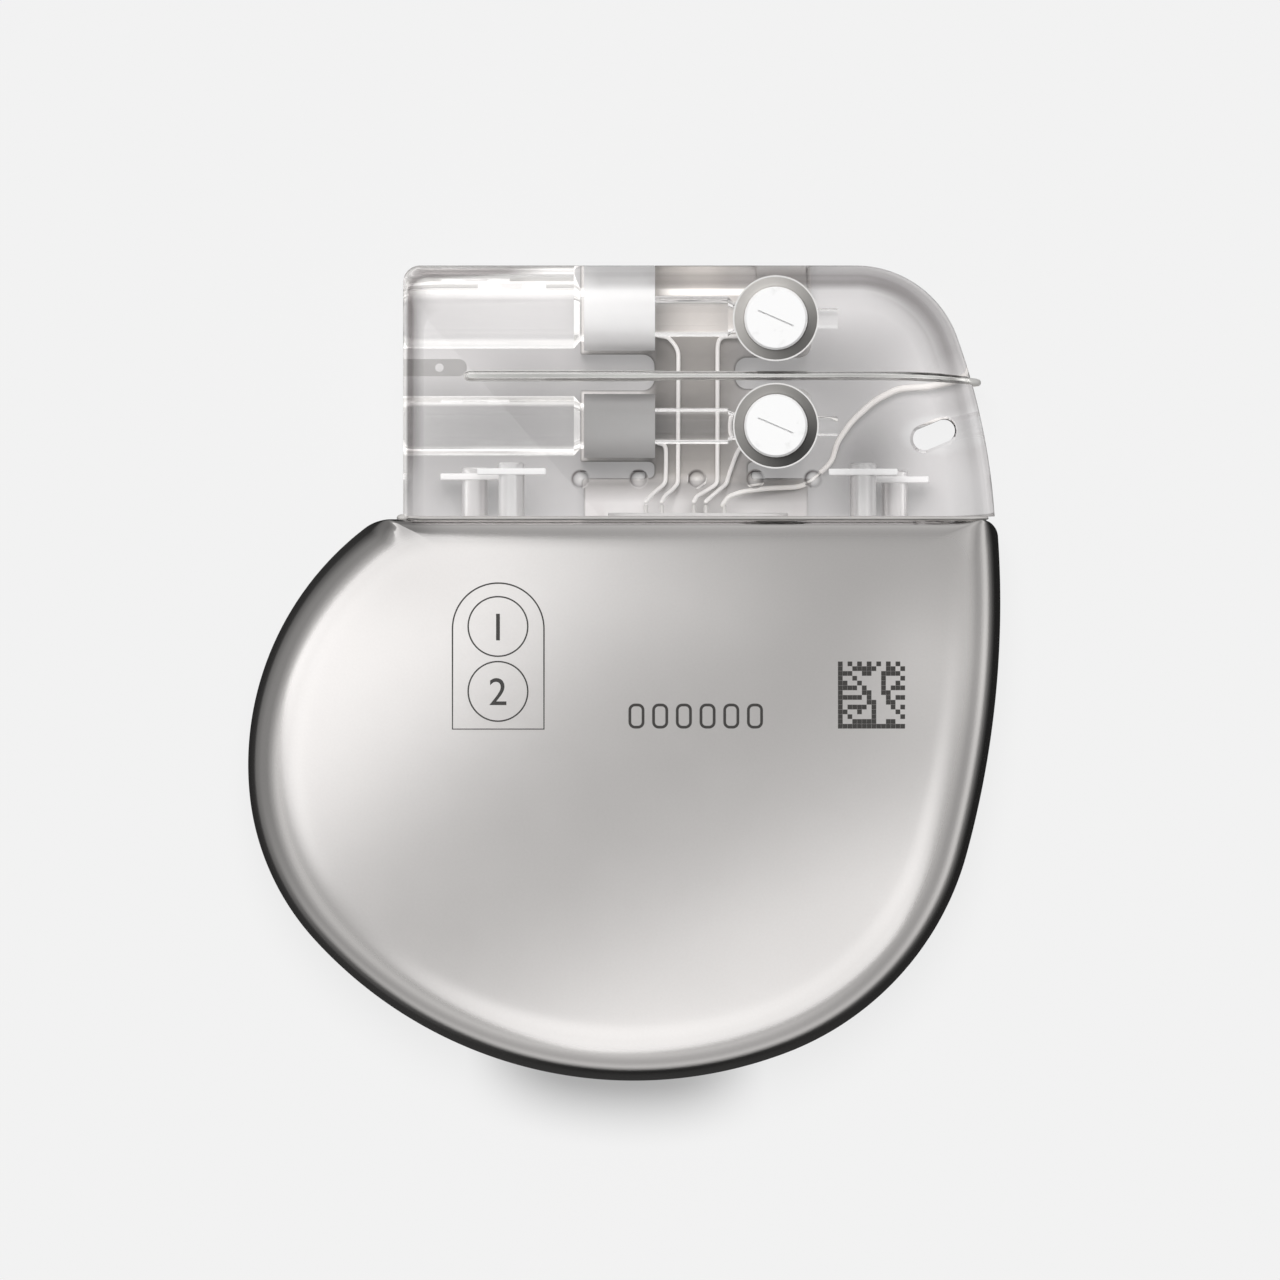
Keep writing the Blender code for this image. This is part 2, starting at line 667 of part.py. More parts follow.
# Header
header = header_shape("header_body", (0.88, 0.87, 0.88), 0.05, 0.0, 0.35)
channel = baked(slab("wire_channel", [channel_outline(0.0)], (-0.5, CHANNEL_FLOOR_Z)))
boolean(header, channel)
foot = box("feedthrough_recess", (CHANNEL_FOOT_X[0] + 0.15, CHANNEL_FOOT_X[1] - 0.15),
           (8.9, CHANNEL_FOOT_Y - 0.15), (CHANNEL_FLOOR_Z - 0.5, 5.6))
boolean(header, foot)
for port, y in PORT_Y.items():
    ring_pocket = box("ring_pocket_" + port, (RING_X[0] - 0.15, RING_X[1] + 0.15),
                      (y - RING_OUTER_R - FIT, y + RING_OUTER_R + FIT),
                      (CHANNEL_FLOOR_Z - 0.7, SEAM_Z - 0.25))
    boolean(header, ring_pocket)
    block_pocket = box("block_pocket_" + port, (TIP_BLOCK_X[0] - FIT, TIP_BLOCK_X[1] + FIT),
                       (y - TIP_BLOCK_WIDE / 2 - FIT, y + TIP_BLOCK_WIDE / 2 + FIT),
                       (CHANNEL_FLOOR_Z - 0.9, TIP_BLOCK_Z[1] + FIT))
    boolean(header, block_pocket)
    ring_seat_r = RING_OUTER_R + SEAT_FIT
    bore = turned("port_bore_" + port, [
        (0.0, PIN_POCKET_END_X),
        (PIN_POCKET_R, PIN_POCKET_END_X),
        (PIN_POCKET_R, TIP_BLOCK_X[1] - FIT),
        (TIP_BORE_R, TIP_BLOCK_X[1] - 2 * FIT),
        (TIP_BORE_R, TIP_BORE_START_X),
        (SEAL_BORE_R, SEAL_BORE_END_X),
        (SEAL_BORE_R, RING_X[1] + 0.05),
        (ring_seat_r, RING_X[1] + 0.05),
        (ring_seat_r, RING_X[0] - 0.05),
        (RING_INNER_R, RING_X[0] - 0.05),
        (RING_INNER_R, PORT_CONE_END_X),
        (PORT_BORE_R, PORT_BORE_END_X),
        (PORT_BORE_R, HEADER_LEFT_X - 1.0),
        (0.0, HEADER_LEFT_X - 1.0),
    ], (0.0, y, SEAM_Z), "X", 20)
    boolean(header, bore)
    well = turned("seal_well_" + port, [
        (0.0, HEADER_FRONT_Z + 0.4),
        (WELL_RIM_R + 0.4, HEADER_FRONT_Z + 0.4),
        (WELL_RIM_R, HEADER_FRONT_Z),
        (PLUG_R + PLUG_FIT, WELL_CONE_Z),
        (PLUG_R + PLUG_FIT, LEDGE_Z),
        (LEDGE_HOLE_R, LEDGE_Z),
        (LEDGE_HOLE_R, TIP_BLOCK_Z[1] - 0.2),
        (0.0, TIP_BLOCK_Z[1] - 0.2),
    ], (WELL_X, y, 0.0), "Z", 24)
    boolean(header, well)
for name, (x, top, z) in POSTS.items():
    post_hole = rod(name + "_hole", POST_R + FIT, (8.9, top + FIT), (x, z), "Y", 16)
    bar_hole = box(name + "_bar_hole", (x - BAR_LONG / 2 - FIT, x + BAR_LONG / 2 + FIT),
                   (top - BAR_DROP - BAR_TALL - FIT, top - BAR_DROP + FIT),
                   (z - BAR_WIDE / 2 - FIT, z + BAR_WIDE / 2 + FIT))
    boolean(header, post_hole)
    boolean(header, bar_hole)
tag_slot = box("tag_slot", (HEADER_LEFT_X - 0.5, -9.25), (17.55, 18.69), (3.60, 3.95))
boolean(header, tag_slot)
suture = baked(slab("suture_hole", [stadium(SUTURE_LONG, SUTURE_WIDE, 6)], (-1.0, 9.0)))
suture.location = (mm(SUTURE_X), mm(SUTURE_Y), mm(4.0))
suture.rotation_euler = (0.0, 0.0, math.radians(SUTURE_TURN))
boolean(header, suture)
for number in range(5):
    dimple_mesh = bpy.data.meshes.new("dimple_" + str(number + 1))
    ball = bmesh.new()
    bmesh.ops.create_uvsphere(ball, u_segments=10, v_segments=6, radius=mm(0.55))
    ball.to_mesh(dimple_mesh)
    ball.free()
    dimple = add("dimple_" + str(number + 1), dimple_mesh)
    dimple.location = (mm(-2.62 + 3.4525 * number), mm(11.5), mm(HEADER_FRONT_Z + 0.12))
    boolean(header, dimple)
groove = baked(wire("antenna_groove", antenna_path(), ANTENNA_R + 0.08, 2))
boolean(header, groove)

# Adhesive under the header, with openings for the posts and the feedthrough flange
bond_outline = rounded([(HEADER_LEFT_X + 0.3, 0.95, 0.5), (21.35, 0.95, 0.5), (21.35, 6.55, 0.5),
                        (HEADER_LEFT_X + 0.3, 6.55, 0.5)])
bond = baked(slab("header_bond", [[(x, -z) for x, z in bond_outline]], (-BOND_THICK / 2, BOND_THICK / 2),
                  (0.72, 0.69, 0.62), 0.4))
bond.data.materials.clear()
bond.data.materials.append(material("adhesive", (0.72, 0.69, 0.62), 0.4))
bond.location = (0.0, mm((CASE_TOP_Y + HEADER_BASE_Y) / 2), 0.0)
bond.rotation_euler = aim("Y")
for name, (x, top, z) in POSTS.items():
    boolean(bond, rod(name + "_bond_hole", POST_R + FIT, (9.0, 9.5), (x, z), "Y", 16))
flange_hole = box("flange_hole", (FERRULE_X[0] - 0.15, FERRULE_X[1] + 0.15),
                  (9.0, 9.5), (SEAM_Z - FLANGE_WIDE / 2 - 0.15, SEAM_Z + FLANGE_WIDE / 2 + 0.15))
boolean(bond, flange_hole)

# Backfill that closes the wire channel at the back
backfill = baked(slab("backfill", [channel_outline(FIT)], (HEADER_REAR_Z + 0.02, BACKFILL_Z),
                      (0.66, 0.63, 0.58), 0.35))
backfill.data.materials.clear()
backfill.data.materials.append(material("silicone_backfill", (0.66, 0.63, 0.58), 0.35))
inside = header_shape("backfill_envelope")
boolean(backfill, inside, "INTERSECT")
boolean(backfill, groove)
# Contacts, blocks, screws and plugs
for port, y in PORT_Y.items():
    middle = (RING_X[0] + RING_X[1]) / 2
    turned("ring_contact_" + port, [
        (RING_OUTER_R, RING_X[1]),
        (RING_OUTER_R, RING_X[0]),
        (RING_INNER_R, RING_X[0]),
        (RING_INNER_R, middle - 0.3),
        (RING_INNER_R + 0.28, middle - 0.3),
        (RING_INNER_R + 0.28, middle + 0.3),
        (RING_INNER_R, middle + 0.3),
        (RING_INNER_R, RING_X[1]),
    ], (0.0, y, SEAM_Z), "X", 20, (0.76, 0.75, 0.74), 0.3, 1.0)
    spring_r = 0.13
    turned("ring_spring_" + port, [
        (RING_INNER_R + 0.12 + spring_r * math.cos(math.radians(a)),
         middle - spring_r * math.sin(math.radians(a)))
        for a in range(0, 360, 60)
    ], (0.0, y, SEAM_Z), "X", 20, (0.82, 0.80, 0.77), 0.25, 1.0)
    block = box("tip_block_" + port, TIP_BLOCK_X, (y - TIP_BLOCK_WIDE / 2, y + TIP_BLOCK_WIDE / 2),
                TIP_BLOCK_Z, (0.74, 0.73, 0.72), 0.32, 1.0)
    boolean(block, rod("tip_bore_" + port, TIP_BORE_R, (TIP_BLOCK_X[0] - 1, TIP_BLOCK_X[1] + 1),
                       (y, SEAM_Z), "X", 20))
    boolean(block, rod("screw_hole_" + port, SCREW_HOLE_R, (SEAM_Z, TIP_BLOCK_Z[1] + 1),
                       (WELL_X, y), "Z", 20))
    screw = turned("set_screw_" + port, [
        (0.0, SCREW_LONG),
        (SCREW_R - 0.1, SCREW_LONG),
        (SCREW_R, SCREW_LONG - 0.1),
        (SCREW_R, 0.25),
        (SCREW_R - 0.25, 0.0),
        (0.0, 0.0),
    ], (WELL_X, y, SCREW_REST_Z), "Z", 20, (0.70, 0.69, 0.68), 0.3, 1.0)
    socket = rod("screw_socket_" + port, SCREW_SOCKET_R,
                 (SCREW_REST_Z + SCREW_LONG - SCREW_SOCKET_DEEP, SCREW_REST_Z + SCREW_LONG + 0.5),
                 (WELL_X, y), "Z", 6)
    boolean(screw, socket)
    plug = turned("seal_plug_" + port, [
        (0.0, PLUG_Z[1]),
        (PLUG_R - 0.12, PLUG_Z[1]),
        (PLUG_R, PLUG_Z[1] - 0.12),
        (PLUG_R, PLUG_Z[0]),
        (0.0, PLUG_Z[0]),
    ], (WELL_X, y, 0.0), "Z", 24, (0.95, 0.95, 0.94), 0.5)
    slit = box("plug_slit_" + port, (-SLIT_LONG / 2, SLIT_LONG / 2), (-SLIT_WIDE / 2, SLIT_WIDE / 2),
               (-SLIT_DEEP, SLIT_DEEP))
    slit.location = (mm(WELL_X), mm(y), mm(PLUG_Z[1]))
    slit.rotation_euler = (0.0, 0.0, math.radians(SLIT_TURN))
    boolean(plug, slit)

# Wires in the header
high = PORT_Y["atrial"]
low = PORT_Y["ventricular"]
wire("lead_wire_ring_atrial", [
    (1.98, high - 1.0, WIRE_Z), (2.60, high - 1.1, WIRE_Z), (3.02, high - 1.6, WIRE_Z),
    (3.20, high - 2.0, WIRE_Z), (3.17, 11.25, WIRE_Z), (2.87, 10.90, 2.6), (2.40, 10.50, 3.3),
    (2.22, 10.18, 3.75)],
    WIRE_R, 1, (0.92, 0.90, 0.86), 0.3, 1.0)
wire("lead_wire_ring_ventricular", [
    (1.98, low - 1.0, WIRE_Z), (2.35, low - 1.1, WIRE_Z), (2.46, low - 1.36, WIRE_Z), (2.46, 12.15, WIRE_Z),
    (2.42, 11.25, WIRE_Z), (1.75, 10.70, 3.1), (1.27, 10.18, 3.75)],
    WIRE_R, 1, (0.92, 0.90, 0.86), 0.3, 1.0)
wire("lead_wire_tip_atrial", [
    (7.66, high - 1.03, WIRE_Z), (5.90, high - 1.05, WIRE_Z), (5.62, high - 1.23, WIRE_Z),
    (5.52, high - 1.6, WIRE_Z), (5.51, 11.25, WIRE_Z), (4.92, 10.85, 2.7), (4.30, 10.50, 3.4),
    (4.12, 10.18, 3.75)],
    WIRE_R, 1, (0.92, 0.90, 0.86), 0.3, 1.0)
wire("lead_wire_tip_ventricular", [
    (7.66, low - 0.86, WIRE_Z), (7.05, low - 1.06, WIRE_Z), (6.67, low - 1.56, WIRE_Z), (6.20, 11.80, WIRE_Z),
    (6.05, 11.22, WIRE_Z), (5.30, 10.60, 3.3), (4.83, 10.18, 3.75)],
    WIRE_R, 1, (0.92, 0.90, 0.86), 0.3, 1.0)
wire("antenna_wire", antenna_path(), ANTENNA_R, 1, (0.70, 0.70, 0.69), 0.25, 1.0)

tag_outline = rounded([(-12.90, 17.61, 0.05), (-9.35, 17.61, 0.5), (-9.35, 18.63, 0.5),
                       (-12.90, 18.63, 0.05)])
slab("xray_id_tag", [tag_outline, arc((-10.98, 18.12), 0.24, 0, 360, 10)], (3.70, 3.85),
     (0.30, 0.29, 0.29), 0.4, 1.0)

# Battery and its connections
battery = battery_shell("battery")
boolean(battery, box("battery_cut", (-30, 30), (BATTERY_TOP_Y, 20), (0, 8)))
rod("battery_glass_seal", 0.75, (BATTERY_TOP_Y + 0.05, BATTERY_TOP_Y + 0.55), (5.5, SEAM_Z), "Y", 16,
    (0.16, 0.24, 0.30), 0.15)
boolean(bpy.data.objects["battery_glass_seal"],
        rod("seal_bore", 0.27, (BATTERY_TOP_Y - 1, BATTERY_TOP_Y + 2), (5.5, SEAM_Z), "Y", 12))
rod("battery_terminal", 0.2, (BATTERY_TOP_Y + 0.05, BATTERY_TOP_Y + 1.3), (5.5, SEAM_Z), "Y", 12,
    (0.85, 0.82, 0.76), 0.25, 1.0)
box("battery_terminal_tab", (5.0, 6.0), (BATTERY_TOP_Y + 0.65, -4.3), (PARTS_Z, PARTS_Z + 0.15),
    (0.78, 0.76, 0.72), 0.3, 1.0)
box("battery_ground_tab", (-6.0, -5.0), (BATTERY_TOP_Y + 0.1, -4.3), (PARTS_Z, PARTS_Z + 0.15),
    (0.78, 0.76, 0.72), 0.3, 1.0)

# Circuit board and what it carries
board_outline = rounded([(BOARD_X[0], BOARD_Y[0], 1.5), (BOARD_X[1], BOARD_Y[0], 1.5),
                         (BOARD_X[1], BOARD_Y[1], 1.5), (BOARD_X[0], BOARD_Y[1], 3.0)])
slab("circuit_board", [board_outline], BOARD_Z, (0.86, 0.84, 0.78), 0.5)
box("flex_circuit", (0.6, 6.6), (3.6, 6.55), (PARTS_Z, PARTS_Z + 0.18), (0.62, 0.36, 0.10), 0.4)


def component(name, middle, size, colour, roughness, metallic=0.0, edge=0.0):
    """A part that sits on the front of the circuit board."""
    x, y = middle
    thing = box(name, (x - size[0] / 2, x + size[0] / 2), (y - size[1] / 2, y + size[1] / 2),
                (PARTS_Z, PARTS_Z + size[2]), colour, roughness, metallic)
    if edge:
        soften(thing, edge)
    return thing


component("processor_chip", (-7.2, 0.2), (6.2, 6.2, 0.9), (0.05, 0.05, 0.055), 0.4)
component("memory_chip", (-0.6, 0.6), (4.2, 5.0, 0.8), (0.05, 0.05, 0.055), 0.4)
component("sensing_chip", (5.0, -1.2), (4.6, 3.8, 0.9), (0.06, 0.06, 0.065), 0.4)
component("crystal", (5.0, 2.2), (3.2, 1.5, 0.8), (0.75, 0.74, 0.72), 0.3, 1.0, 0.15)
component("accelerometer", (-12.0, -2.6), (2.6, 2.4, 1.1), (0.70, 0.68, 0.64), 0.4, 1.0)
component("magnet_sensor", (-12.0, 0.6), (2.4, 1.6, 1.0), (0.07, 0.07, 0.07), 0.4)
component("tantalum_capacitor_1", (-0.9, -3.3), (3.4, 1.7, 1.5), (0.78, 0.62, 0.20), 0.45, 0.0, 0.12)
component("tantalum_capacitor_2", (9.4, -3.3), (3.4, 1.7, 1.5), (0.78, 0.62, 0.20), 0.45, 0.0, 0.12)
component("output_capacitor_1", (-12.0, 2.9), (2.2, 1.3, 1.2), (0.58, 0.46, 0.34), 0.45)
component("output_capacitor_2", (14.8, -3.3), (2.2, 1.3, 1.2), (0.58, 0.46, 0.34), 0.45)
turned("telemetry_coil", [(3.6, 5.9), (3.6, 5.0), (2.7, 5.0), (2.7, 5.9)], (12.2, 0.9, 0.0), "Z", 28,
       (0.62, 0.30, 0.14), 0.35, 1.0)
box("desiccant_block", (-10.0, -3.0), (-2.0, 1.5), (0.85, 2.35), (0.83, 0.82, 0.78), 0.7)

# Insulating sheets against the two halves of the case
front_sheet = coarse(case_section(WALL + EDGE_IN + 0.3, WALL + TOP_EDGE_IN + 0.3, 1.0)[0])
slab("front_insulator", [front_sheet], (THICKNESS - WALL - 0.1 - 0.15, THICKNESS - WALL - 0.1),
     (0.80, 0.62, 0.28), 0.35)
slab("rear_insulator", [front_sheet], (WALL + 0.1, WALL + 0.1 + 0.15), (0.80, 0.62, 0.28), 0.35)
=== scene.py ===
# %% [markdown]
# # A cardiac pacemaker, dressed for its picture
#
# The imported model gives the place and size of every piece: a titanium can with a clear polymer header on
# top. This lesson loads it as a fixed frame, and then makes the surfaces that a camera sees: the blasted
# metal, the clear cast header with its bores, wells, wires and posts, and the white seals. Lengths are
# written in millimetres and turned into metres when a mesh is made, so that they read like a drawing.

import math

import bpy
import numpy as np
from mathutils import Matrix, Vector


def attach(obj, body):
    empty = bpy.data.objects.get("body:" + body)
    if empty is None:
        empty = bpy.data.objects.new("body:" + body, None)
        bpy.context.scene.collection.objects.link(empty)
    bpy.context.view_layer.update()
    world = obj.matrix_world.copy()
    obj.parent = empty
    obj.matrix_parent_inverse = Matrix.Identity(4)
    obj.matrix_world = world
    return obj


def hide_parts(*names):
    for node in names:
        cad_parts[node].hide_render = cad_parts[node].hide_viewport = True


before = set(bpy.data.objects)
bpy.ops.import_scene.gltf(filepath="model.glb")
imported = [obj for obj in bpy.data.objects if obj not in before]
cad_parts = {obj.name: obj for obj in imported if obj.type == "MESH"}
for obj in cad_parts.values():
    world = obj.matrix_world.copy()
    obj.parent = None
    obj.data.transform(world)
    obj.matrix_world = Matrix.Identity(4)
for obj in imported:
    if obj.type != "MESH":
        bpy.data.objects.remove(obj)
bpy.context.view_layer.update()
MM = 0.001
print("pieces in the frame:", len(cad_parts))

# %% [markdown]
# ## Camera
#
# The picture looks straight down on the front of the can, from far away: nothing of its sides shows. A
# very long lens two metres above it gives that view. A shorter one would draw the seam, which lies lower
# than the face, smaller.

# %% Camera
FRAME_WIDE = 75.84
FRAME_MIDDLE = (0.92, 1.96)
LENS = 1000.0
SENSOR = 36.0
FRONT_Z = 7.5

camera_data = bpy.data.cameras.new("picture_camera")
camera_data.lens = LENS
camera_data.sensor_width = SENSOR
camera_data.clip_end = 10.0
camera = bpy.data.objects.new("picture_camera", camera_data)
camera_height = FRONT_Z + FRAME_WIDE * LENS / SENSOR
camera.location = Vector((*FRAME_MIDDLE, camera_height)) * MM
bpy.context.scene.collection.objects.link(camera)
bpy.context.scene.camera = camera
print("camera height in mm:", round(camera_height, 1))

# %% [markdown]
# ## Materials as expressions
#
# A finish is a small tree of nodes. Written as one call for each node, it is hard to read, so three small
# classes help: `Level` wraps a socket, and `+`, `-`, `*` or `/` on it add the Math node; `Wiring` adds
# any other node to a tree; and `Finish` is the wiring of a new material. Colours are only blended with
# Mix nodes, because a Math node turns a colour grey.

# %% Sockets that can be added and multiplied
class Level:
    """A number that varies over a surface. Arithmetic on it adds Math nodes to the same tree."""

    def __init__(self, tree, socket):
        self.tree = tree
        self.socket = socket

    def math(self, operation, *others):
        node = self.tree.nodes.new("ShaderNodeMath")
        node.operation = operation
        for place, value in enumerate((self, *others)):
            if isinstance(value, Level):
                self.tree.links.new(value.socket, node.inputs[place])
            else:
                node.inputs[place].default_value = value
        return Level(self.tree, node.outputs[0])

    def __add__(self, other):
        return self.math("ADD", other)

    def __sub__(self, other):
        return self.math("SUBTRACT", other)

    def __rsub__(self, other):
        return self.math("MULTIPLY", -1.0).math("ADD", other)

    def __mul__(self, other):
        return self.math("MULTIPLY", other)

    def __truediv__(self, other):
        return self.math("DIVIDE", other)

    def __abs__(self):
        return self.math("ABSOLUTE")

    __radd__ = __add__
    __rmul__ = __mul__

    def at_least(self, other):
        """The larger of the two numbers."""
        return self.math("MAXIMUM", other)

    def clipped(self):
        """The number kept between 0 and 1."""
        return self.at_least(0.0).math("MINIMUM", 1.0)

    def rise(self, start, width=1.0):
        """0 up to start, and from there evenly up to 1 over width."""
        return ((self - start) / width).clipped()

    def fall(self, end, width=1.0):
        """1 far below end, and evenly down to 0 over the last width before end."""
        return ((end - self) / width).clipped()

    def fading(self):
        """The exponential of the number taken negative: 1 at 0, and soon nearly 0."""
        return self.math("MULTIPLY", -1.0).math("EXPONENT")


class Wiring:
    """A tree of nodes, of a material, a light or the world, and methods that add nodes to it."""

    def __init__(self, tree):
        self.tree = tree

    def feed(self, node, socket, value):
        """Links a socket or sets a value; a colour of three numbers gets its alpha."""
        target = node.inputs[socket]
        if isinstance(value, Level):
            value = value.socket
        if isinstance(value, bpy.types.NodeSocket):
            self.tree.links.new(value, target)
        elif isinstance(value, (tuple, list)) and target.type == "RGBA":
            target.default_value = (*value[:3], 1.0)
        else:
            target.default_value = value

    def node(self, kind, inputs=None, stops=(), **settings):
        """Adds a node: its settings and the stops of its ramp first, and then the values or links of its
        sockets."""
        made = self.tree.nodes.new(kind)
        for key, value in settings.items():
            setattr(made, key, value)
        for number, (position, grey) in enumerate(stops):
            elements = made.color_ramp.elements
            element = elements[number] if number < 2 else elements.new(position)
            element.position = position
            element.color = (grey, grey, grey, 1.0)
        for socket, value in (inputs or {}).items():
            self.feed(made, socket, value)
        return made

    def level(self, kind, output=0, inputs=None, **settings):
        """The same, for a node whose output is used as a number."""
        return Level(self.tree, self.node(kind, inputs, **settings).outputs[output])

    def parts(self, vector):
        """The X, Y and Z of a vector, as three levels."""
        return [Level(self.tree, part) for part in self.node("ShaderNodeSeparateXYZ", {0: vector}).outputs]

    def ramp(self, level, low, high, stops, brightest=1.0):
        """Follows stops of (level, brightness) in straight steps, for levels from low to high."""
        placed = [((at - low) / (high - low), brightness / brightest) for at, brightness in stops]
        share = (level - low) / (high - low)
        return self.level("ShaderNodeValToRGB", inputs={0: share}, stops=placed) * brightest

    def blend(self, factor, first, second):
        """A colour that goes from first to second as factor goes from 0 to 1."""
        mixed = self.node("ShaderNodeMix", {"Factor": factor, 6: first, 7: second}, data_type="RGBA")
        return mixed.outputs[2]


class Finish(Wiring):
    """A new material with one Principled shader."""

    def __init__(self, name, **constants):
        self.material = bpy.data.materials.new(name)
        self.material.use_nodes = True
        super().__init__(self.material.node_tree)
        self.shader = self.tree.nodes["Principled BSDF"]
        self.place = self.node("ShaderNodeTexCoord").outputs["Object"]
        self.set(**constants)

    def set(self, **sockets):
        """Feeds sockets of the shader, where _ stands for a space in a name, and gives the material."""
        for socket, value in sockets.items():
            self.feed(self.shader, socket.replace("_", " "), value)
        return self.material

    def place_mm(self):
        """The X, Y and Z of each point of the piece, in mm."""
        return [part / MM for part in self.parts(self.place)]

    def attribute(self, name):
        """A number that the mesh carries at its vertices."""
        return self.level("ShaderNodeAttribute", "Fac", attribute_name=name)

    def noise(self, size, detail=2.0, roughness=0.5, vector=None):
        """Noise whose spots are about size millimetres wide, from 0 to 1."""
        inputs = {"Vector": vector or self.place, "Scale": 1.0 / (size * MM), "Detail": detail,
                  "Roughness": roughness}
        return self.level("ShaderNodeTexNoise", "Fac", inputs)

    def bump(self, height, depth):
        """A normal for a height from 0 to 1, where 1 stands depth millimetres proud."""
        return self.node("ShaderNodeBump", {"Height": height, "Distance": depth * MM}).outputs["Normal"]


BLACK = (0.0, 0.0, 0.0)
WHITE = (1.0, 1.0, 1.0)


def scaled(colour, share):
    return tuple(channel * share for channel in colour)


print("helpers for materials:", [kind.__name__ for kind in (Level, Wiring, Finish)])

# %% [markdown]
# ## Blasted titanium
#
# The can is drawn from titanium sheet and blasted with fine glass beads. That gives a satin metal: sharp
# things don't mirror in it, but large light and dark fields do, as soft slopes of grey. Its tiny dimples
# are a noise of about a seventh of a millimetre in the bump. Handling polishes the rim a little, so an
# attribute on the mesh, 0 on the flat face and 1 at the seam, lowers the roughness there.

# %% Finish of the can
def soft_spots(x, y, spots):
    """The sum of soft round spots, each given as (amount, middle X, middle Y, half width, half height) in
    mm."""
    total = 0.0
    for amount, across, height, wide, tall in spots:
        u, v = (x - across) / wide, (y - height) / tall
        total = (u * u + v * v).fading() * amount + total
    return total


# Painted light and shade on the face: spots where its reflection is drawn brighter or duller, and painted
# shade in its top left corner beside the header.
CAN_PAINTED_LIGHT_SPOTS = ((0.20, 4.6, 4.4, 5.5, 4.2), (0.28, 18.0, 1.0, 3.6, 4.2), (-0.11, 15.0, -17.5, 6.5, 4.0),
             (-0.10, -13.5, 6.0, 5.0, 3.0), (-0.45, -13.0, 8.6, 1.7, 0.9), (-0.06, 6.0, -19.0, 6.0, 3.0))
CAN_TONES = (0.5, 1.4)
GRAIN_WIDE = 0.15
GRAIN_DEEP = 0.0022
POLISH_FROM, POLISH_OVER = 0.38, 0.34


def blasted_titanium(name, tint, face_roughness, rim_roughness):
    finish = Finish(name, Metallic=1.0)
    x, y, _ = finish.place_mm()
    grain = finish.noise(GRAIN_WIDE, detail=1.5)
    cloud = finish.noise(3.5, detail=3.0)
    # The tone carries the painted light spots, times a random grain and cloud.
    tone = (soft_spots(x, y, CAN_PAINTED_LIGHT_SPOTS) + 1.0) * (grain * 0.045 + cloud * 0.015 + 0.95)
    dull, bright = CAN_TONES
    colour = finish.blend((tone - dull) / (bright - dull), scaled(tint, dull), scaled(tint, bright))
    polish = finish.attribute("rim").rise(POLISH_FROM, POLISH_OVER)
    roughness = face_roughness + polish * (rim_roughness - face_roughness) + (cloud - 0.5) * 0.05
    return finish.set(Base_Color=colour, Roughness=roughness,
                      Normal=finish.bump(grain + cloud * 2.0, GRAIN_DEEP))


can_metal = blasted_titanium("can_metal", (0.665, 0.648, 0.640), 0.40, 0.11)
print("can finish:", can_metal.name)

# %% [markdown]
# ## Surfaces from arrays
#
# Every new piece is a grid of points worked out with numpy: rows go from one end of a shape to the other,
# columns go round it. One function turns such a grid into a mesh, and its ends can be closed to a point.
# Each finished piece then gets its body, its material slot and the node of the frame that it stands in
# for.

# %% A grid of points becomes a mesh
def coat(thing, look):
    """Gives a piece one material and no other."""
    thing.data.materials.clear()
    thing.data.materials.append(look)


def shaded(mesh, smooth):
    """Shades a mesh smooth, except along edges sharper than smooth degrees."""
    mesh.shade_smooth()
    mesh.set_sharp_from_angle(angle=math.radians(smooth))


def piece(name, mesh, look, smooth=35.0):
    """An object for a mesh."""
    shaded(mesh, smooth)
    made = bpy.data.objects.new(name, mesh)
    if look is not None:
        coat(made, look)
    bpy.context.scene.collection.objects.link(made)
    return made


def mesh_piece(name, points, faces, look, smooth=35.0):
    """An object whose mesh has these points, in mm, and these faces."""
    mesh = bpy.data.meshes.new(name)
    mesh.from_pydata((points * MM).tolist(), [], faces)
    mesh.update()
    return piece(name, mesh, look, smooth)


def surface(name, grid, look, closed=True, ring=False, ends=False, smooth=35.0):
    """Mesh through grid[row, column] in mm. closed joins the last column to the first, ring the last row
    to the first row, and ends closes the first and the last row, each with a fan to the middle of that
    row."""
    grid = np.asarray(grid, float)
    rows, columns = grid.shape[:2]
    index = np.arange(rows * columns).reshape(rows, columns)
    beside = np.roll(index, -1, 1) if closed else index[:, 1:]
    here = index if closed else index[:, :-1]
    quads = np.stack([here, beside, np.roll(beside, -1, 0), np.roll(here, -1, 0)], -1)
    points = grid.reshape(-1, 3)
    faces = (quads if ring else quads[:-1]).reshape(-1, 4).tolist()
    for row, turn in ((0, -1), (rows - 1, 1)) if ends else ():
        fan = np.stack([here[row], beside[row], np.full(here.shape[1], len(points))], -1)
        points = np.vstack([points, grid[row].mean(0)])
        faces += fan[:, ::turn].tolist()
    return mesh_piece(name, points, faces, look, smooth)


def arc(centre, radius, start, end, count, last=True):
    """Points at centre plus radius times the cosine and the sine of evenly spaced angles, in degrees."""
    angle = np.radians(np.linspace(start, end, count, endpoint=last))
    return np.stack([centre[0] + radius * np.cos(angle), centre[1] + radius * np.sin(angle)], 1)


def at_height(outline, z):
    """A ring of points in X and Y, lifted to one height or to a height for each of its points."""
    return np.column_stack([outline, np.broadcast_to(z, len(outline))])


def paint(made, name, values):
    """Writes one number for each vertex, as an attribute that the finish reads."""
    layer = made.data.attributes.new(name, "FLOAT", "POINT")
    layer.data.foreach_set("value", np.asarray(values, np.float32).ravel())


def settle(made, node=None, body="pacemaker"):
    """The piece rides on its body, and stands in for a node of the frame."""
    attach(made, body)
    if node:
        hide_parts(node)
    return made


print("helpers for meshes ready")

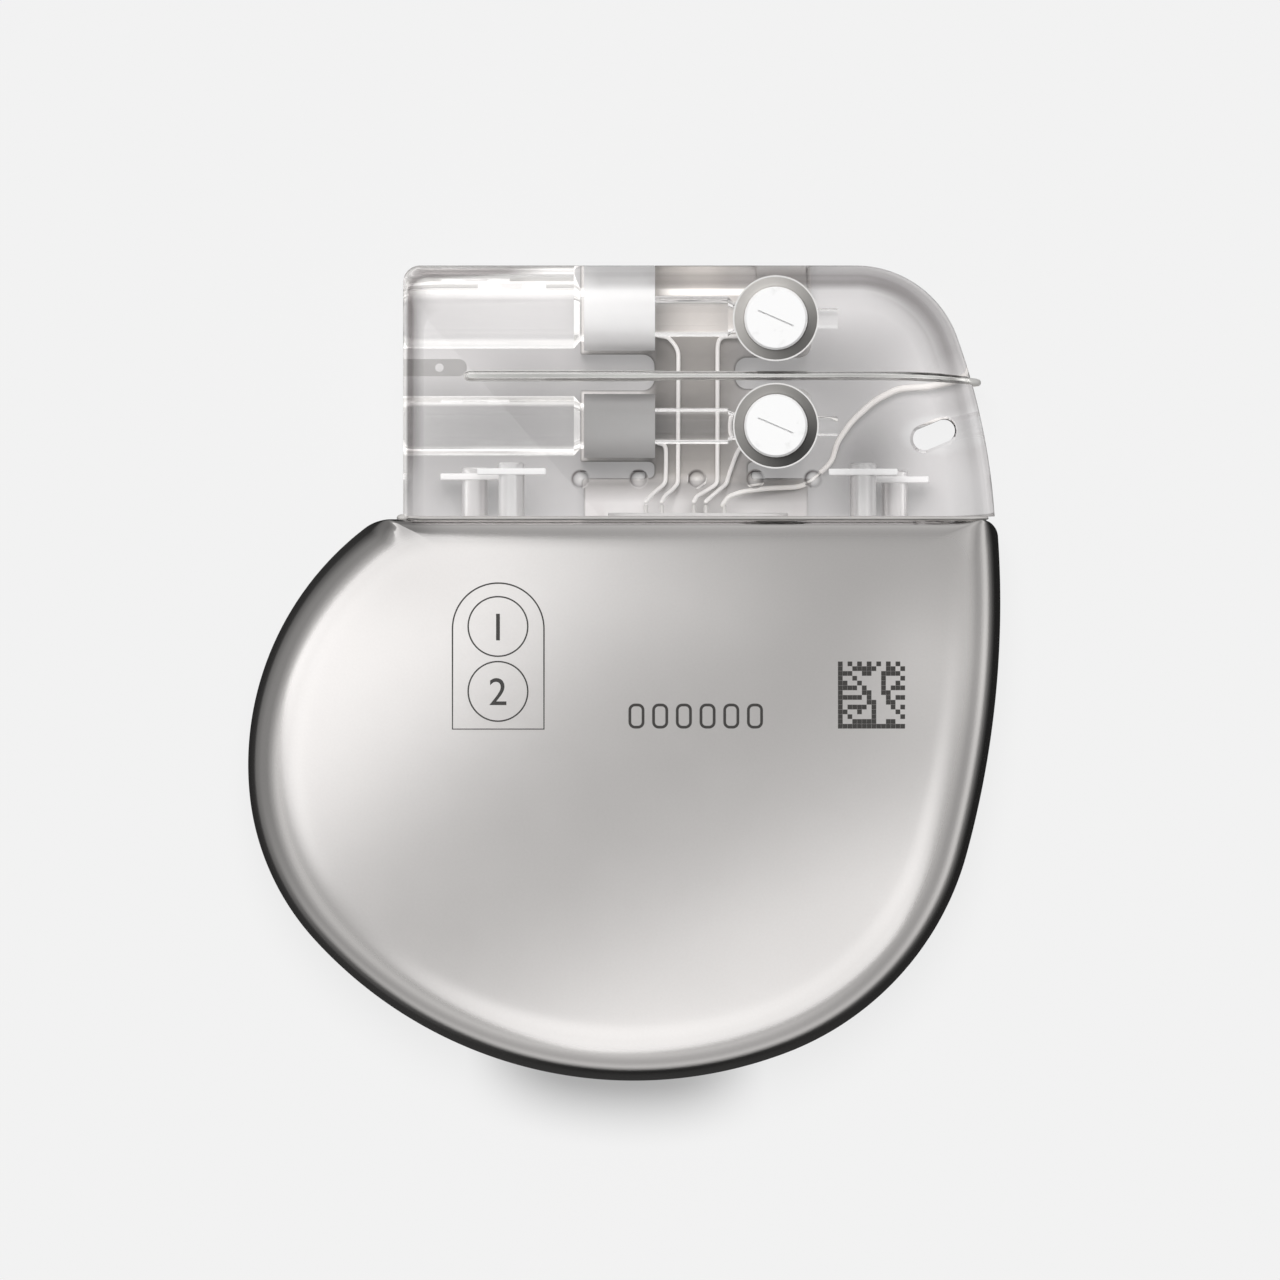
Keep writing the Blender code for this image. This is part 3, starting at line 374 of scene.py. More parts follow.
# %% [markdown]
# ## The can
#
# A real can is two cups, pressed from sheet and joined by a laser weld round their edge. Its outline is
# five arcs, each tangent to the next, under a straight top line. The cup is that outline moved inwards
# and upwards along a quarter of an ellipse, which is how a drawn edge turns into the flat face. Columns
# follow the outline and rows the wall: up the inside, over the seam edge, up the outside, and in over the
# face to its middle.

# %% Outline of the can
CASE_TOP_Y = 9.12
ARC_RADII = (17.68, 14.99, 25.60, 17.53, 56.62)
ARC_JOINTS = (185.6, 222.1, 290.6, 344.7)
ARC_COUNTS = (84, 56, 104, 80, 40)
LEFT_CORNER_R = (2.6, 4.0)
RIGHT_CORNER_R = (1.1, 2.2)
CORNER_COUNT = 22
TOP_COUNT = 50
SEAM_Z = 3.75
WALL = 0.4
SIDE_EDGE = (3.4, 3.25)
TOP_EDGE = (1.9, 0.9)

arc_centres = [np.array([-4.65, -5.44])]
for joint, radius, after in zip(ARC_JOINTS, ARC_RADII[:-1], ARC_RADII[1:]):
    heading = math.radians(joint)
    step = (radius - after) * np.array([math.cos(heading), math.sin(heading)])
    arc_centres.append(arc_centres[-1] + step)


def can_outline(side_in, top_in, blend):
    """The can's outline moved in by side_in, its top line by top_in. Each corner's radius goes from its
    first to its second value as blend goes from 0 to 1. Also gives 0 along the sides and 1 along the top,
    easing over the corners."""
    top = CASE_TOP_Y - top_in

    def corner(centre, radius, small, side):
        reach = radius - side_in - small
        rise = top - small - centre[1]
        across = side * math.sqrt(reach ** 2 - rise ** 2)
        return np.array([centre[0] + across, top - small]), math.degrees(math.atan2(rise, across))

    left_r, right_r = (small + (large - small) * blend for small, large in (LEFT_CORNER_R, RIGHT_CORNER_R))
    left, left_angle = corner(arc_centres[0], ARC_RADII[0], left_r, -1)
    right, right_angle = corner(arc_centres[4], ARC_RADII[4], right_r, 1)
    starts = (left_angle, *ARC_JOINTS)
    stops = (*ARC_JOINTS, 360 + right_angle)
    parts = [arc(left, left_r, 90, left_angle, CORNER_COUNT, False)]
    for centre, radius, start, stop, count in zip(arc_centres, ARC_RADII, starts, stops, ARC_COUNTS):
        parts.append(arc(centre, radius - side_in, start, stop, count, False))
    parts.append(arc(right, right_r, 360 + right_angle, 450, CORNER_COUNT, False))
    across = np.linspace(right[0], left[0], TOP_COUNT, endpoint=False)
    parts.append(np.stack([across, np.full(TOP_COUNT, top)], 1))
    ease = 0.5 - 0.5 * np.cos(np.linspace(0, math.pi, CORNER_COUNT, endpoint=False))
    top_share = np.concatenate([1 - ease, np.zeros(sum(ARC_COUNTS)), ease, np.ones(TOP_COUNT)])
    return np.vstack(parts), top_share


def can_row(inset, turn, height=None):
    """One ring of the can's wall: turn goes from 0 at the side to a quarter turn at the face. The outline
    moves in by SIDE_EDGE[0] times (1 - cos turn), and rises to the face along SIDE_EDGE[1] times (1 - sin
    turn); TOP_EDGE says the same for the top line."""
    run, rise = 1 - math.cos(turn), math.sin(turn)
    side_in, top_in = (inset + (edge[0] - inset) * run for edge in (SIDE_EDGE, TOP_EDGE))
    outline, share = can_outline(side_in, top_in, run)
    if height is None:
        side_z, top_z = (SEAM_Z - inset - (edge[1] - inset) * (1 - rise) for edge in (SIDE_EDGE, TOP_EDGE))
        height = side_z + (top_z - side_z) * share
    return at_height(outline, height)


seam_outline, _ = can_outline(0, 0, 0)
print("can outline:", len(seam_outline), "points,", np.ptp(seam_outline, 0).round(2), "mm")

# %% One cup of the can
EDGE_ROWS = 22
FACE_SHARES = (0.03, 0.10, 0.25, 0.45, 0.65, 0.85)
LIP = ((WALL, 0.05), (0.10, 0.05), (0.03, 0.07), (0.0, 0.13))


def towards_middle(row, shares):
    """Copies of a ring, each moved towards its middle by a share of the way."""
    middle = row.mean(0)
    middle[2] = row[0, 2]
    return [row + (middle - row) * share for share in shares]


def can_half(name, sign, node):
    """A cup: inner wall, seam lip, outer wall and face, as heights above the seam plane times sign."""
    turns = np.linspace(0, math.pi / 2, EDGE_ROWS)
    inner = [can_row(WALL, turn) for turn in turns[::3]]
    inner_face = towards_middle(inner[-1], FACE_SHARES)
    lip = [can_row(inset, 0.0, height) for inset, height in LIP]
    outer_wall = [can_row(0.0, turn) for turn in turns]
    outer_face = towards_middle(outer_wall[-1], FACE_SHARES)
    grid = np.array(inner_face[::-1] + inner[::-1] + lip + outer_wall + outer_face)
    grid[..., 2] = SEAM_Z + sign * grid[..., 2]
    if sign > 0:
        grid = grid[:, ::-1]
    made = surface(name, grid, can_metal, ends=True, smooth=60)
    rim = np.concatenate([np.ones(len(inner_face) + len(inner) + len(lip)), np.cos(turns) ** 0.8,
                          np.zeros(len(outer_face))])
    paint(made, "rim", np.append(np.repeat(rim, grid.shape[1]), (1.0, 0.0)))
    print(name, len(made.data.polygons), "faces")
    return settle(made, node)


can_half("can_front", 1, "front_case")
can_half("can_back", -1, "rear_case")

# %% [markdown]
# ## The laser weld
#
# The two cups meet in the middle of the side, and a laser runs once round the seam. It leaves a narrow
# bead of small overlapping pools. The bead is a low strip swept along the outline. Its pools are too fine
# for the mesh, so its UV map counts them along the seam, and the bump gives each one a curved ripple.

# %% Weld bead round the seam
POOL_LONG = 0.22
BEAD_HALF = 0.12
BEAD_SUNK = 0.10
BEAD_RISE = 0.11
BACKING_IN = WALL + 0.15
BACKING_HALF = 0.2


def weld_metal():
    finish = Finish("weld_metal", Metallic=1.0)
    along, across, _ = finish.parts(finish.node("ShaderNodeUVMap", uv_map="along").outputs[0])
    pool = (along + across * across * 0.6).math("FRACT")
    ripple = (pool - 0.5) * (pool - 0.5) * -4.0 + 1.0
    colour = finish.blend(finish.noise(0.4), (0.50, 0.47, 0.44), (0.66, 0.63, 0.60))
    return finish.set(Base_Color=colour, Roughness=0.26 + ripple * 0.10, Normal=finish.bump(ripple, 0.012))


bead_across = np.linspace(-1, 1, 11)
backing, _ = can_outline(BACKING_IN, BACKING_IN, 0)
bead_rows = [at_height(backing, SEAM_Z - BACKING_HALF)]
for share in bead_across:
    sunk = BEAD_SUNK - BEAD_RISE * (1 - share ** 2) ** 0.5
    bead_rows.append(at_height(can_outline(sunk, sunk, 0)[0], SEAM_Z + BEAD_HALF * share))
bead_rows.append(at_height(backing, SEAM_Z + BACKING_HALF))
seam_weld = surface("seam_weld", np.array(bead_rows)[::-1], weld_metal(), ring=True)
steps = np.linalg.norm(np.diff(seam_outline, axis=0, append=seam_outline[:1]), axis=1)
along_seam = np.concatenate([[0], np.cumsum(steps)[:-1]])
pools = np.round(steps.sum() / POOL_LONG)
columns = len(seam_outline)
corner_vertex = np.zeros(len(seam_weld.data.loops), np.int32)
seam_weld.data.loops.foreach_get("vertex_index", corner_vertex)
row_of, column_of = corner_vertex // columns, corner_vertex % columns
u = along_seam[column_of] / steps.sum() * pools
last_column = np.repeat(column_of.reshape(-1, 4).max(1) == columns - 1, 4) & (column_of == 0)
u = np.where(last_column, pools, u)
v = np.concatenate([[1.2], bead_across[::-1], [-1.2]])[row_of]
uv = seam_weld.data.uv_layers.new(name="along")
uv.data.foreach_set("uv", np.stack([u, v], 1).ravel().astype(np.float32))
settle(seam_weld, "weld_band")
print("seam", round(steps.sum(), 1), "mm long,", int(pools), "weld pools")

# %% [markdown]
# ## The header's outer shape
#
# The header is cast clear polymer, a flat block whose front and back edges are rounded much more at the
# top and the right than at the left. As with the can, each row is the outline moved in along a quarter of
# an ellipse, and the ellipse itself changes round the outline. Two extra rows on each flat face keep it
# truly flat up to its edge, which matters in a clear piece: a face that only looks smooth would bend what
# is seen through it.
#
# A rounded edge of clear polymer also bends the surround into fine lines along itself. They depend on the
# whole studio, so they are painted instead: the mesh carries painted shade, as how grey the skin is at each
# distance from the outline.

# %% Header outline and skin
HEADER_LEFT = -13.12
HEADER_TOP = 24.17
HEADER_BASE = 9.30
HEADER_Z = (0.25, 7.25)
SHOULDER_R = 6.4
SHOULDER = np.array([13.70, HEADER_TOP - SHOULDER_R])
SHOULDER_TURN = 70.0
SIDE_R = 38.5
SIDE_COUNT, CORNER_STEPS, ACROSS_COUNT, SHOULDER_COUNT, FLANK_COUNT = 40, 20, 60, 44, 40
SKIN_IN, SKIN_IN_LEFT = 2.6, 1.2
SKIN_DEEP, SKIN_DEEP_LEFT = 2.0, 1.2
SKIN_ROWS = 26


def header_outline(edge, left_edge):
    """Header outline moved in by edge, on its left by left_edge, from the foot of its left side round to
    its right. Also gives 0 along its left side and 1 elsewhere, easing over the corner."""
    left, top = HEADER_LEFT + left_edge, HEADER_TOP - edge
    small = 1.0 + 0.3 * left_edge
    side = [(left, y) for y in np.linspace(HEADER_BASE, top - small, SIDE_COUNT, endpoint=False)]
    corner = arc((left + small, top - small), small, 180, 90, CORNER_STEPS, False)
    across = [(x, top) for x in np.linspace(left + small, SHOULDER[0], ACROSS_COUNT, endpoint=False)]
    shoulder = arc(SHOULDER, SHOULDER_R - edge, 90, 90 - SHOULDER_TURN, SHOULDER_COUNT, False)
    heading = math.radians(90 - SHOULDER_TURN)
    centre = SHOULDER + (SHOULDER_R - SIDE_R) * np.array([math.cos(heading), math.sin(heading)])
    foot = math.degrees(math.asin((HEADER_BASE - centre[1]) / (SIDE_R - edge)))
    flank = arc(centre, SIDE_R - edge, 90 - SHOULDER_TURN, foot, FLANK_COUNT)
    ease = 0.5 - 0.5 * np.cos(np.linspace(0, math.pi, CORNER_STEPS, endpoint=False))
    share = np.concatenate([np.zeros(SIDE_COUNT), ease, np.ones(ACROSS_COUNT + SHOULDER_COUNT + FLANK_COUNT)])
    return np.vstack([side, corner, across, shoulder, flank]), share


# Painted shade along the header's edge: how much light the edge lets through at some distances in mm from the
# outline, over the top, in the wedge at its left end, round the shoulder, down the right side, and along the
# left side.
EDGE_PAINTED_LIGHT = {
    "top": ((0.0, 1.0), (0.12, 0.82), (0.30, 0.68), (0.50, 0.62), (0.60, 0.52), (0.78, 0.57), (1.02, 0.45),
            (1.20, 0.60), (1.50, 0.95), (2.6, 1.0)),
    "wedge": ((0.06, 1.0), (0.22, 0.47), (0.45, 0.36), (0.70, 0.42), (0.85, 1.0)),
    "shoulder": ((0.10, 1.0), (0.25, 0.66), (0.50, 0.56), (0.62, 0.44), (0.90, 0.38), (1.20, 0.52),
                 (1.50, 0.70), (1.65, 0.68), (1.90, 0.84), (2.6, 1.0)),
    "flank": ((0.10, 0.95), (0.20, 0.80), (0.30, 0.90), (0.60, 0.80), (0.75, 0.68), (1.05, 0.64),
              (1.30, 0.73), (1.60, 0.80), (2.6, 1.0)),
    "left": ((0.12, 1.0), (0.32, 0.42), (0.50, 0.36), (0.80, 0.60), (1.05, 0.82), (1.2, 0.92))}
# How strong each painted shade is at some places along the outline, in mm: X for the top and the shoulder, Y
# for the sides.
EDGE_PAINTED_SHADE_STRENGTH = {
    "top": ((-3.0, 0.0), (-1.5, 0.5), (1.0, 0.5), (2.5, 0.85), (7.0, 0.95), (12.0, 1.12)),
    "shoulder": ((15.0, 1.12), (19.0, 0.86)),
    "flank": ((11.5, 0.6), (14.0, 1.0)),
    "left": ((11.0, 0.35), (13.0, 0.9), (19.0, 0.95), (21.0, 1.12))}


def edge_painted_shade(outline, share, inset, left_inset):
    """Painted shade of the skin along one ring: one less the square of the light let through, as light
    crosses the painted skin once while the shader takes the square root of its colour."""
    x, y = outline[:, 0], outline[:, 1]

    def taken(side, distance, place=None):
        light = np.interp(distance, *zip(*EDGE_PAINTED_LIGHT[side]))
        return (1 - light) * (1 if place is None else np.interp(place, *zip(*EDGE_PAINTED_SHADE_STRENGTH[side])))

    wedge = taken("wedge", inset * (1 + 0.5 * np.clip((x + 11.0) / 6.0, 0, 1)))
    light = 1 - taken("top", inset, x) - wedge * np.clip((-4.5 - x) / 2.5, 0, 1)
    round_shoulder = np.clip((x - 14.0) / 3.0, 0, 1)
    light += (1 - taken("shoulder", inset, x) - light) * round_shoulder
    light += (1 - taken("flank", inset, y) - light) * np.clip((19.0 - y) / 2.0, 0, 1) * round_shoulder
    left = 1 - taken("left", left_inset, y)
    return 1 - (left + (light - left) * share) ** 2


def header_skin():
    """Rings from the rear face to the front face; the height of a ring is half the thickness less the
    ellipse's depth times (1 - sin turn), where the depth at the left differs from elsewhere. Also gives how
    grey each point's skin is painted, as painted shade along the edge. The rear half gets no painted shade,
    as the light has crossed the front half's skin already."""
    half = (HEADER_Z[1] - HEADER_Z[0]) / 2
    front, grey = [], []
    for turn in np.linspace(0, math.pi / 2, SKIN_ROWS):
        run, rise = 1 - math.cos(turn), math.sin(turn)
        inset, left_inset = SKIN_IN * run, SKIN_IN_LEFT * run
        outline, share = header_outline(inset, left_inset)
        deep = SKIN_DEEP_LEFT + (SKIN_DEEP - SKIN_DEEP_LEFT) * share
        front.append(at_height(outline, half - deep * (1 - rise)))
        grey.append(edge_painted_shade(outline, share, inset, left_inset))
    for extra in (0.06, 0.5):
        outline, share = header_outline(SKIN_IN + extra, SKIN_IN_LEFT + extra)
        front.append(at_height(outline, half))
        grey.append(share * 0)
    front, grey = np.array(front), np.array(grey)
    grid = np.concatenate([front[::-1] * (1, 1, -1), front]) + (0, 0, SEAM_Z)
    return grid, np.concatenate([grey * 0, grey])


def outline_solid(name, grid, look=None, smooth=35.0):
    """A closed solid from a stack of rings: its first and last rings are filled as single flat faces."""
    rows, columns = grid.shape[:2]
    index = np.arange(rows * columns).reshape(rows, columns)
    beside = np.roll(index, -1, 1)
    quads = np.stack([index[:-1], beside[:-1], beside[1:], index[1:]], -1).reshape(-1, 4)
    faces = quads.tolist() + [index[0, ::-1].tolist(), index[-1].tolist()]
    return mesh_piece(name, grid.reshape(-1, 3), faces, look, smooth)


# The skin's points, and the painted shade that each of them carries.
skin_grid, skin_painted_shade = (rows[:, ::-1] for rows in header_skin())
print("header skin:", skin_grid.shape[0], "rows of", skin_grid.shape[1])

# %% [markdown]
# ## Clear cast polymer
#
# The header really refracts: a Principled shader with full transmission, the index of a polyurethane, and a
# little absorption inside, which makes thick places darker than the bores. Light must still reach the pieces
# cast into it. For shadow rays the shader gives way to a transparent one, as clear polymer casts hardly any
# shadow. Where the wall of a bore turns away, it reflects the bright surround totally; that is painted there
# as a weak white glow of emission, set by the Layer Weight node. Painted highlights glow in the same way on
# the band over the wells, on the five dimples and along the left edge. Painted shade darkens the skin where
# its attribute says so and on the dimples' rims, and a few wide soft spots of painted light and shade dim or
# lighten the block's faces.

# %% Finish of the header
DIMPLE_AT = (-2.62, 11.5)
DIMPLE_APART = 3.4525
# Near black: the colour of the painted shade along the header's edge and on the dimples' rims.
PAINTED_SHADE_TINT = (0.012, 0.0, 0.0)
# Colour of the painted gleam: a glow of emission for reflections and highlights on the header.
PAINTED_GLEAM_COLOUR = (0.52, 0.512, 0.498)
THROUGH_SHADOW = (0.97, 0.965, 0.965)
BLOCK_CLEARNESS = 0.86
# Painted light and shade on the clear block, as spots where it is drawn a little darker or lighter than
# elsewhere.
HEADER_PAINTED_LIGHT_SPOTS = (
    (-0.34, -8.0, 14.8, 9.0, 5.5), (0.16, -6.5, 21.6, 6.0, 1.8), (0.22, -10.8, 17.8, 3.8, 1.8),
    (0.07, -0.5, 18.3, 3.0, 1.3), (-0.42, 14.2, 12.3, 2.6, 2.8), (-0.22, 13.2, 18.0, 3.4, 3.0),
    (0.16, 13.0, 21.8, 5.0, 1.6), (0.18, 18.6, 16.0, 2.2, 4.5))


def bore_painted_gleam(x, y, z, turned_away):
    """Painted white gleam, a glow that stands in for the reflection on the bores' walls where they turn away
    from the camera. It is weak behind the contact rings, and strong before them, most of all over the upper
    bore and along the top of the lower one."""
    in_bores = abs(z - SEAM_Z).fall(1.9, 0.05) * x.fall(14.0) * y.rise(12.4) * y.fall(22.95, 0.05)
    over_upper = y.rise(22.0, 1 / 3) * x.fall(-2.6, 1 / 3)
    top_of_lower = y.rise(15.6, 0.2) * y.fall(18.0)
    gleam = turned_away.rise(0.24, 0.10).at_least(over_upper * 1.1)
    return gleam * in_bores * (0.12 + x.fall(-2.0, 0.5) * (0.5 + top_of_lower * 0.38))


def dimple_painted_light(x, y, z):
    """Painted shade along the dimples' rims on the front face, most at the upper left, and a painted
    highlight in their middles."""
    beside = (x - (DIMPLE_AT[0] - DIMPLE_APART / 2)).math("MODULO", DIMPLE_APART) - DIMPLE_APART / 2
    height = y - DIMPLE_AT[1]
    off = (beside * beside + height * height).math("SQRT")
    in_row = x.rise(-3.5, 0.25) * x.fall(12.1, 0.25) * z.rise(6.5, 0.25)
    rim = abs(off - 0.46).fall(0.15, 0.15) * in_row * (0.74 - (beside - height) * 0.4)
    return rim, off.fall(0.34, 0.34) * in_row


def clear_polymer(name, density, absorbed):
    finish = Finish(name, IOR=1.5, Transmission_Weight=1.0, Emission_Strength=1.0)
    x, y, z = finish.place_mm()
    in_front = z.rise(5.0, 0.25)
    # Painted highlights, glowing as emission: a band over the wells, the left edge and the dimples' middles.
    wells_painted_highlight = abs(y - 22.58).fall(0.26, 0.125) * x.rise(1.8) * x.fall(11.0, 4.0) * in_front
    left_edge = x.fall(-12.84, 0.125) * y.fall(19.6, 0.5) * in_front
    rim, dimple_painted_highlight = dimple_painted_light(x, y, z)
    gleam = bore_painted_gleam(x, y, z, finish.level("ShaderNodeLayerWeight", "Facing"))
    gleam = gleam + wells_painted_highlight + dimple_painted_highlight * 0.5 + left_edge * 0.55
    # Painted light and shade spots dim or lighten the block's faces.
    clear = (soft_spots(x, y, HEADER_PAINTED_LIGHT_SPOTS) + BLOCK_CLEARNESS).clipped()
    body = finish.blend(clear.at_least(abs(z - SEAM_Z).fall(2.7, 0.125)), BLACK, WHITE)
    # The skin blends to near black where the attribute of painted edge shade and the dimples' painted rims
    # say.
    finish.set(Base_Color=finish.blend(finish.attribute("painted_shade").at_least(rim), body, PAINTED_SHADE_TINT),
               Roughness=finish.noise(1.1, detail=3.0) * 0.02, Normal=finish.bump(finish.noise(2.6), 0.0006),
               Emission_Color=finish.blend(gleam, BLACK, PAINTED_GLEAM_COLOUR))
    shadow = finish.node("ShaderNodeLightPath").outputs["Is Shadow Ray"]
    see_through = finish.node("ShaderNodeBsdfTransparent", {"Color": THROUGH_SHADOW}).outputs[0]
    mixed = finish.node("ShaderNodeMixShader", {0: shadow, 1: finish.shader.outputs[0], 2: see_through})
    inside = finish.node("ShaderNodeVolumeAbsorption", {"Color": absorbed, "Density": density})
    output = finish.tree.nodes["Material Output"]
    finish.feed(output, "Surface", mixed.outputs[0])
    finish.feed(output, "Volume", inside.outputs[0])
    return finish.material


header_clear = clear_polymer("header_clear", 12.0, (0.28, 0.12, 0.135))
print("header finish:", header_clear.name)

# %% [markdown]
# ## What is cut out of the header
#
# Two stepped bores for the lead plugs enter from the left. Two wells in the front face hold the seals,
# five small round dimples mark the casting vents, a slanted hole at the right takes a suture, and a wire
# channel is open at the back. Each is a turned or extruded solid taken away with an exact boolean. Where
# a metal piece is cast in, the cut ends inside that metal, so that no film of air lies between the two
# and the metal is seen as if wetted.

# %% Turned solids
def turned(name, profile, centre, axis, look=None, count=72, smooth=35.0):
    """A profile of (radius, distance along the axis) turned about the axis through centre. A radius of 0
    at both its ends closes it."""
    profile = np.array(profile, float)
    angle = np.linspace(0, 2 * math.pi, count, endpoint=False)
    radius, along = profile[:, 0:1], np.repeat(profile[:, 1:2], count, 1)
    across = np.stack([radius * np.cos(angle), radius * np.sin(angle)], -1)
    order = {"X": (2, 0, 1), "Y": (1, 2, 0), "Z": (0, 1, 2)}[axis]
    grid = np.concatenate([across, along[..., None]], -1)[..., order] + np.array(centre, float)
    if max(profile[0, 0], profile[-1, 0]) < 1e-6:
        return surface(name, grid[1:-1], look, ends=True, smooth=smooth)
    return surface(name, grid, look, ring=True, smooth=smooth)


def carved(target, tools, smooth=35.0):
    """The target with each tool taken away by the exact solver; the tools are removed."""
    for tool in tools:
        modifier = target.modifiers.new("cut", "BOOLEAN")
        modifier.operation = "DIFFERENCE"
        modifier.solver = "EXACT"
        modifier.object = tool
    bpy.context.view_layer.update()
    solved = target.evaluated_get(bpy.context.evaluated_depsgraph_get())
    target.data, mesh = bpy.data.meshes.new_from_object(solved), target.data
    target.modifiers.clear()
    for tool in tools:
        bpy.data.objects.remove(tool)
    shaded(target.data, smooth)
    return target


# %% Bores, wells, dimples and the suture hole
PORT_Y = {"atrial": 21.03, "ventricular": 14.66}
BORE_R = 1.77
PIN_BORE_R = 0.83
RING_X = (-2.40, 1.81)
RING_R = (1.36, 1.90)
BLOCK_X = (7.79, 10.87)
WELL_X = 8.97
PLUG_R = 1.87
PLUG_Z = (6.05, 6.85)
DIMPLE_R = 0.58
DIMPLE_DEEP = 0.10
DIMPLES = 5

cuts = []
for y in PORT_Y.values():
    cuts.append(turned("bore", [
        (0, 12.65), (0.6, 12.65), (0.6, BLOCK_X[1] - 0.2), (1.0, BLOCK_X[1] - 0.2), (1.0, BLOCK_X[0] + 0.2),
        (PIN_BORE_R, BLOCK_X[0] + 0.2), (PIN_BORE_R, 6.43), (1.075, 6.13), (1.075, RING_X[1] - 0.1),
        (1.6, RING_X[1] - 0.1), (1.6, RING_X[0] + 0.1), (RING_R[0], RING_X[0] + 0.1), (RING_R[0], -2.65),
        (BORE_R, -3.0), (BORE_R, HEADER_LEFT - 1), (0, HEADER_LEFT - 1)], (0, y, SEAM_Z), "X", count=96))
    cuts.append(turned("well", [
        (0, 5.4), (1.3, 5.4), (1.3, 5.95), (PLUG_R + 0.03, 5.95), (PLUG_R + 0.03, 6.62), (2.54, 7.25),
        (2.94, 7.65), (0, 7.65)], (WELL_X, y, 0), "Z", count=96))
bowl_r = (DIMPLE_R ** 2 + DIMPLE_DEEP ** 2) / (2 * DIMPLE_DEEP)
bowl_turn = np.linspace(0, math.asin(DIMPLE_R / bowl_r), 12)
bowl_height = HEADER_Z[1] - DIMPLE_DEEP + bowl_r * (1 - np.cos(bowl_turn))
bowl = [*zip(bowl_r * np.sin(bowl_turn), bowl_height), (DIMPLE_R + 0.03, FRONT_Z), (0.0, FRONT_Z)]
for number in range(DIMPLES):
    middle = (DIMPLE_AT[0] + DIMPLE_APART * number, DIMPLE_AT[1], 0)
    cuts.append(turned("dimple", bowl, middle, "Z", count=40))


def stack(outline, heights):
    """A grid of one outline at several heights."""
    return np.array([at_height(outline, height) for height in heights])


def slot_outline(long, wide, centre, turn):
    """A long round-ended slot, turned by so many degrees about its centre."""
    reach, radius = (long - wide) / 2, wide / 2
    shape = np.vstack([arc((reach, 0), radius, -90, 90, 25), arc((-reach, 0), radius, 90, 270, 25)])
    c, s = math.cos(math.radians(turn)), math.sin(math.radians(turn))
    return shape @ np.array([[c, s], [-s, c]]) + np.array(centre)


SUTURE_LONG, SUTURE_WIDE = 2.65, 1.35
SUTURE_AT = (18.37, 14.14)
SUTURE_TURN = 23.0
SUTURE_CHAMFER = 0.34
suture_wall = slot_outline(SUTURE_LONG, SUTURE_WIDE, SUTURE_AT, SUTURE_TURN)
suture_mouth = slot_outline(SUTURE_LONG + SUTURE_CHAMFER, SUTURE_WIDE + SUTURE_CHAMFER,
                            SUTURE_AT, SUTURE_TURN)
cuts.append(outline_solid("suture", np.concatenate([stack(suture_wall, (-1.0, 7.05)),
                                                    stack(suture_mouth, (7.24, 7.26, 9.0))])))
print("cuts so far:", [tool.name for tool in cuts])

# %% [markdown]
# ## The wire channel and its fill
#
# The wires are laid into a comb-shaped channel from the back, which is then filled with grey-brown
# silicone. The outline is a polygon whose corners are rounded, and the same function, moved in a little,
# gives the fill.

# %% Channel outline, and the header cut from it
def rounded_outline(corners, steps=8):
    """A closed outline through (x, y, radius) corners; each corner is an arc that touches both of its
    sides."""
    corners = np.array(corners, float)
    here, radius = corners[:, :2], np.maximum(corners[:, 2:], 1e-4)
    into = np.roll(here, 1, 0) - here
    out = np.roll(here, -1, 0) - here
    into /= np.linalg.norm(into, axis=1, keepdims=True)
    out /= np.linalg.norm(out, axis=1, keepdims=True)
    half = np.arccos(np.clip((into * out).sum(1, keepdims=True), -1, 1)) / 2
    middle = into + out
    centre = here + middle / np.linalg.norm(middle, axis=1, keepdims=True) * radius / np.sin(half)
    start = here + into * radius / np.tan(half) - centre
    stop = here + out * radius / np.tan(half) - centre
    first = np.arctan2(start[:, 1], start[:, 0])
    sweep = (np.arctan2(stop[:, 1], stop[:, 0]) - first + math.pi) % (2 * math.pi) - math.pi
    angle = first[:, None] + sweep[:, None] * np.linspace(0, 1, steps + 1)
    points = centre[:, None] + radius[:, :, None] * np.stack([np.cos(angle), np.sin(angle)], -1)
    return points.reshape(-1, 2)


def rounded_box(left, low, right, high, radius, steps=8):
    """A rounded outline with four corners of the same radius."""
    return rounded_outline([(left, low, radius), (right, low, radius), (right, high, radius),
                            (left, high, radius)], steps)


def channel_outline(gap):
    """The channel's outline, moved in by gap."""
    left, right = -2.60 + gap, 11.05 - gap
    foot_left, foot_right, foot_top = -2.40 + gap, 10.87 - gap, 11.55 - gap
    column_left, column_right = 1.80 + gap, 6.55 - gap
    high, low, ring = PORT_Y["atrial"], PORT_Y["ventricular"], 2.10 - gap
    tooth_low, tooth_high, top = 16.85 - gap, 18.75 + gap, 23.20 - gap
    base = HEADER_BASE + (gap if gap > 0 else -0.5)
    return rounded_outline([
        (foot_left, base, 0), (foot_right, base, 0), (foot_right, foot_top, 0.4), (7.3 - gap, foot_top, 0.3),
        (7.3 - gap, 12.55 + gap, 0.3), (right, 12.55 + gap, 1.2), (right, tooth_low, 0.7),
        (column_right, tooth_low, 0.7), (column_right, tooth_high, 0.7), (right, tooth_high, 0.7),
        (right, top, 0.7), (left, top, 0.2), (left, high - ring, 0.1), (column_left, high - ring, 0.7),
        (column_left, low + ring, 0.7), (left, low + ring, 0.1), (left, low - ring, 0.1),
        (column_left, low - ring, 0.35), (column_left, foot_top, 0.35), (foot_left, foot_top, 0.4)])


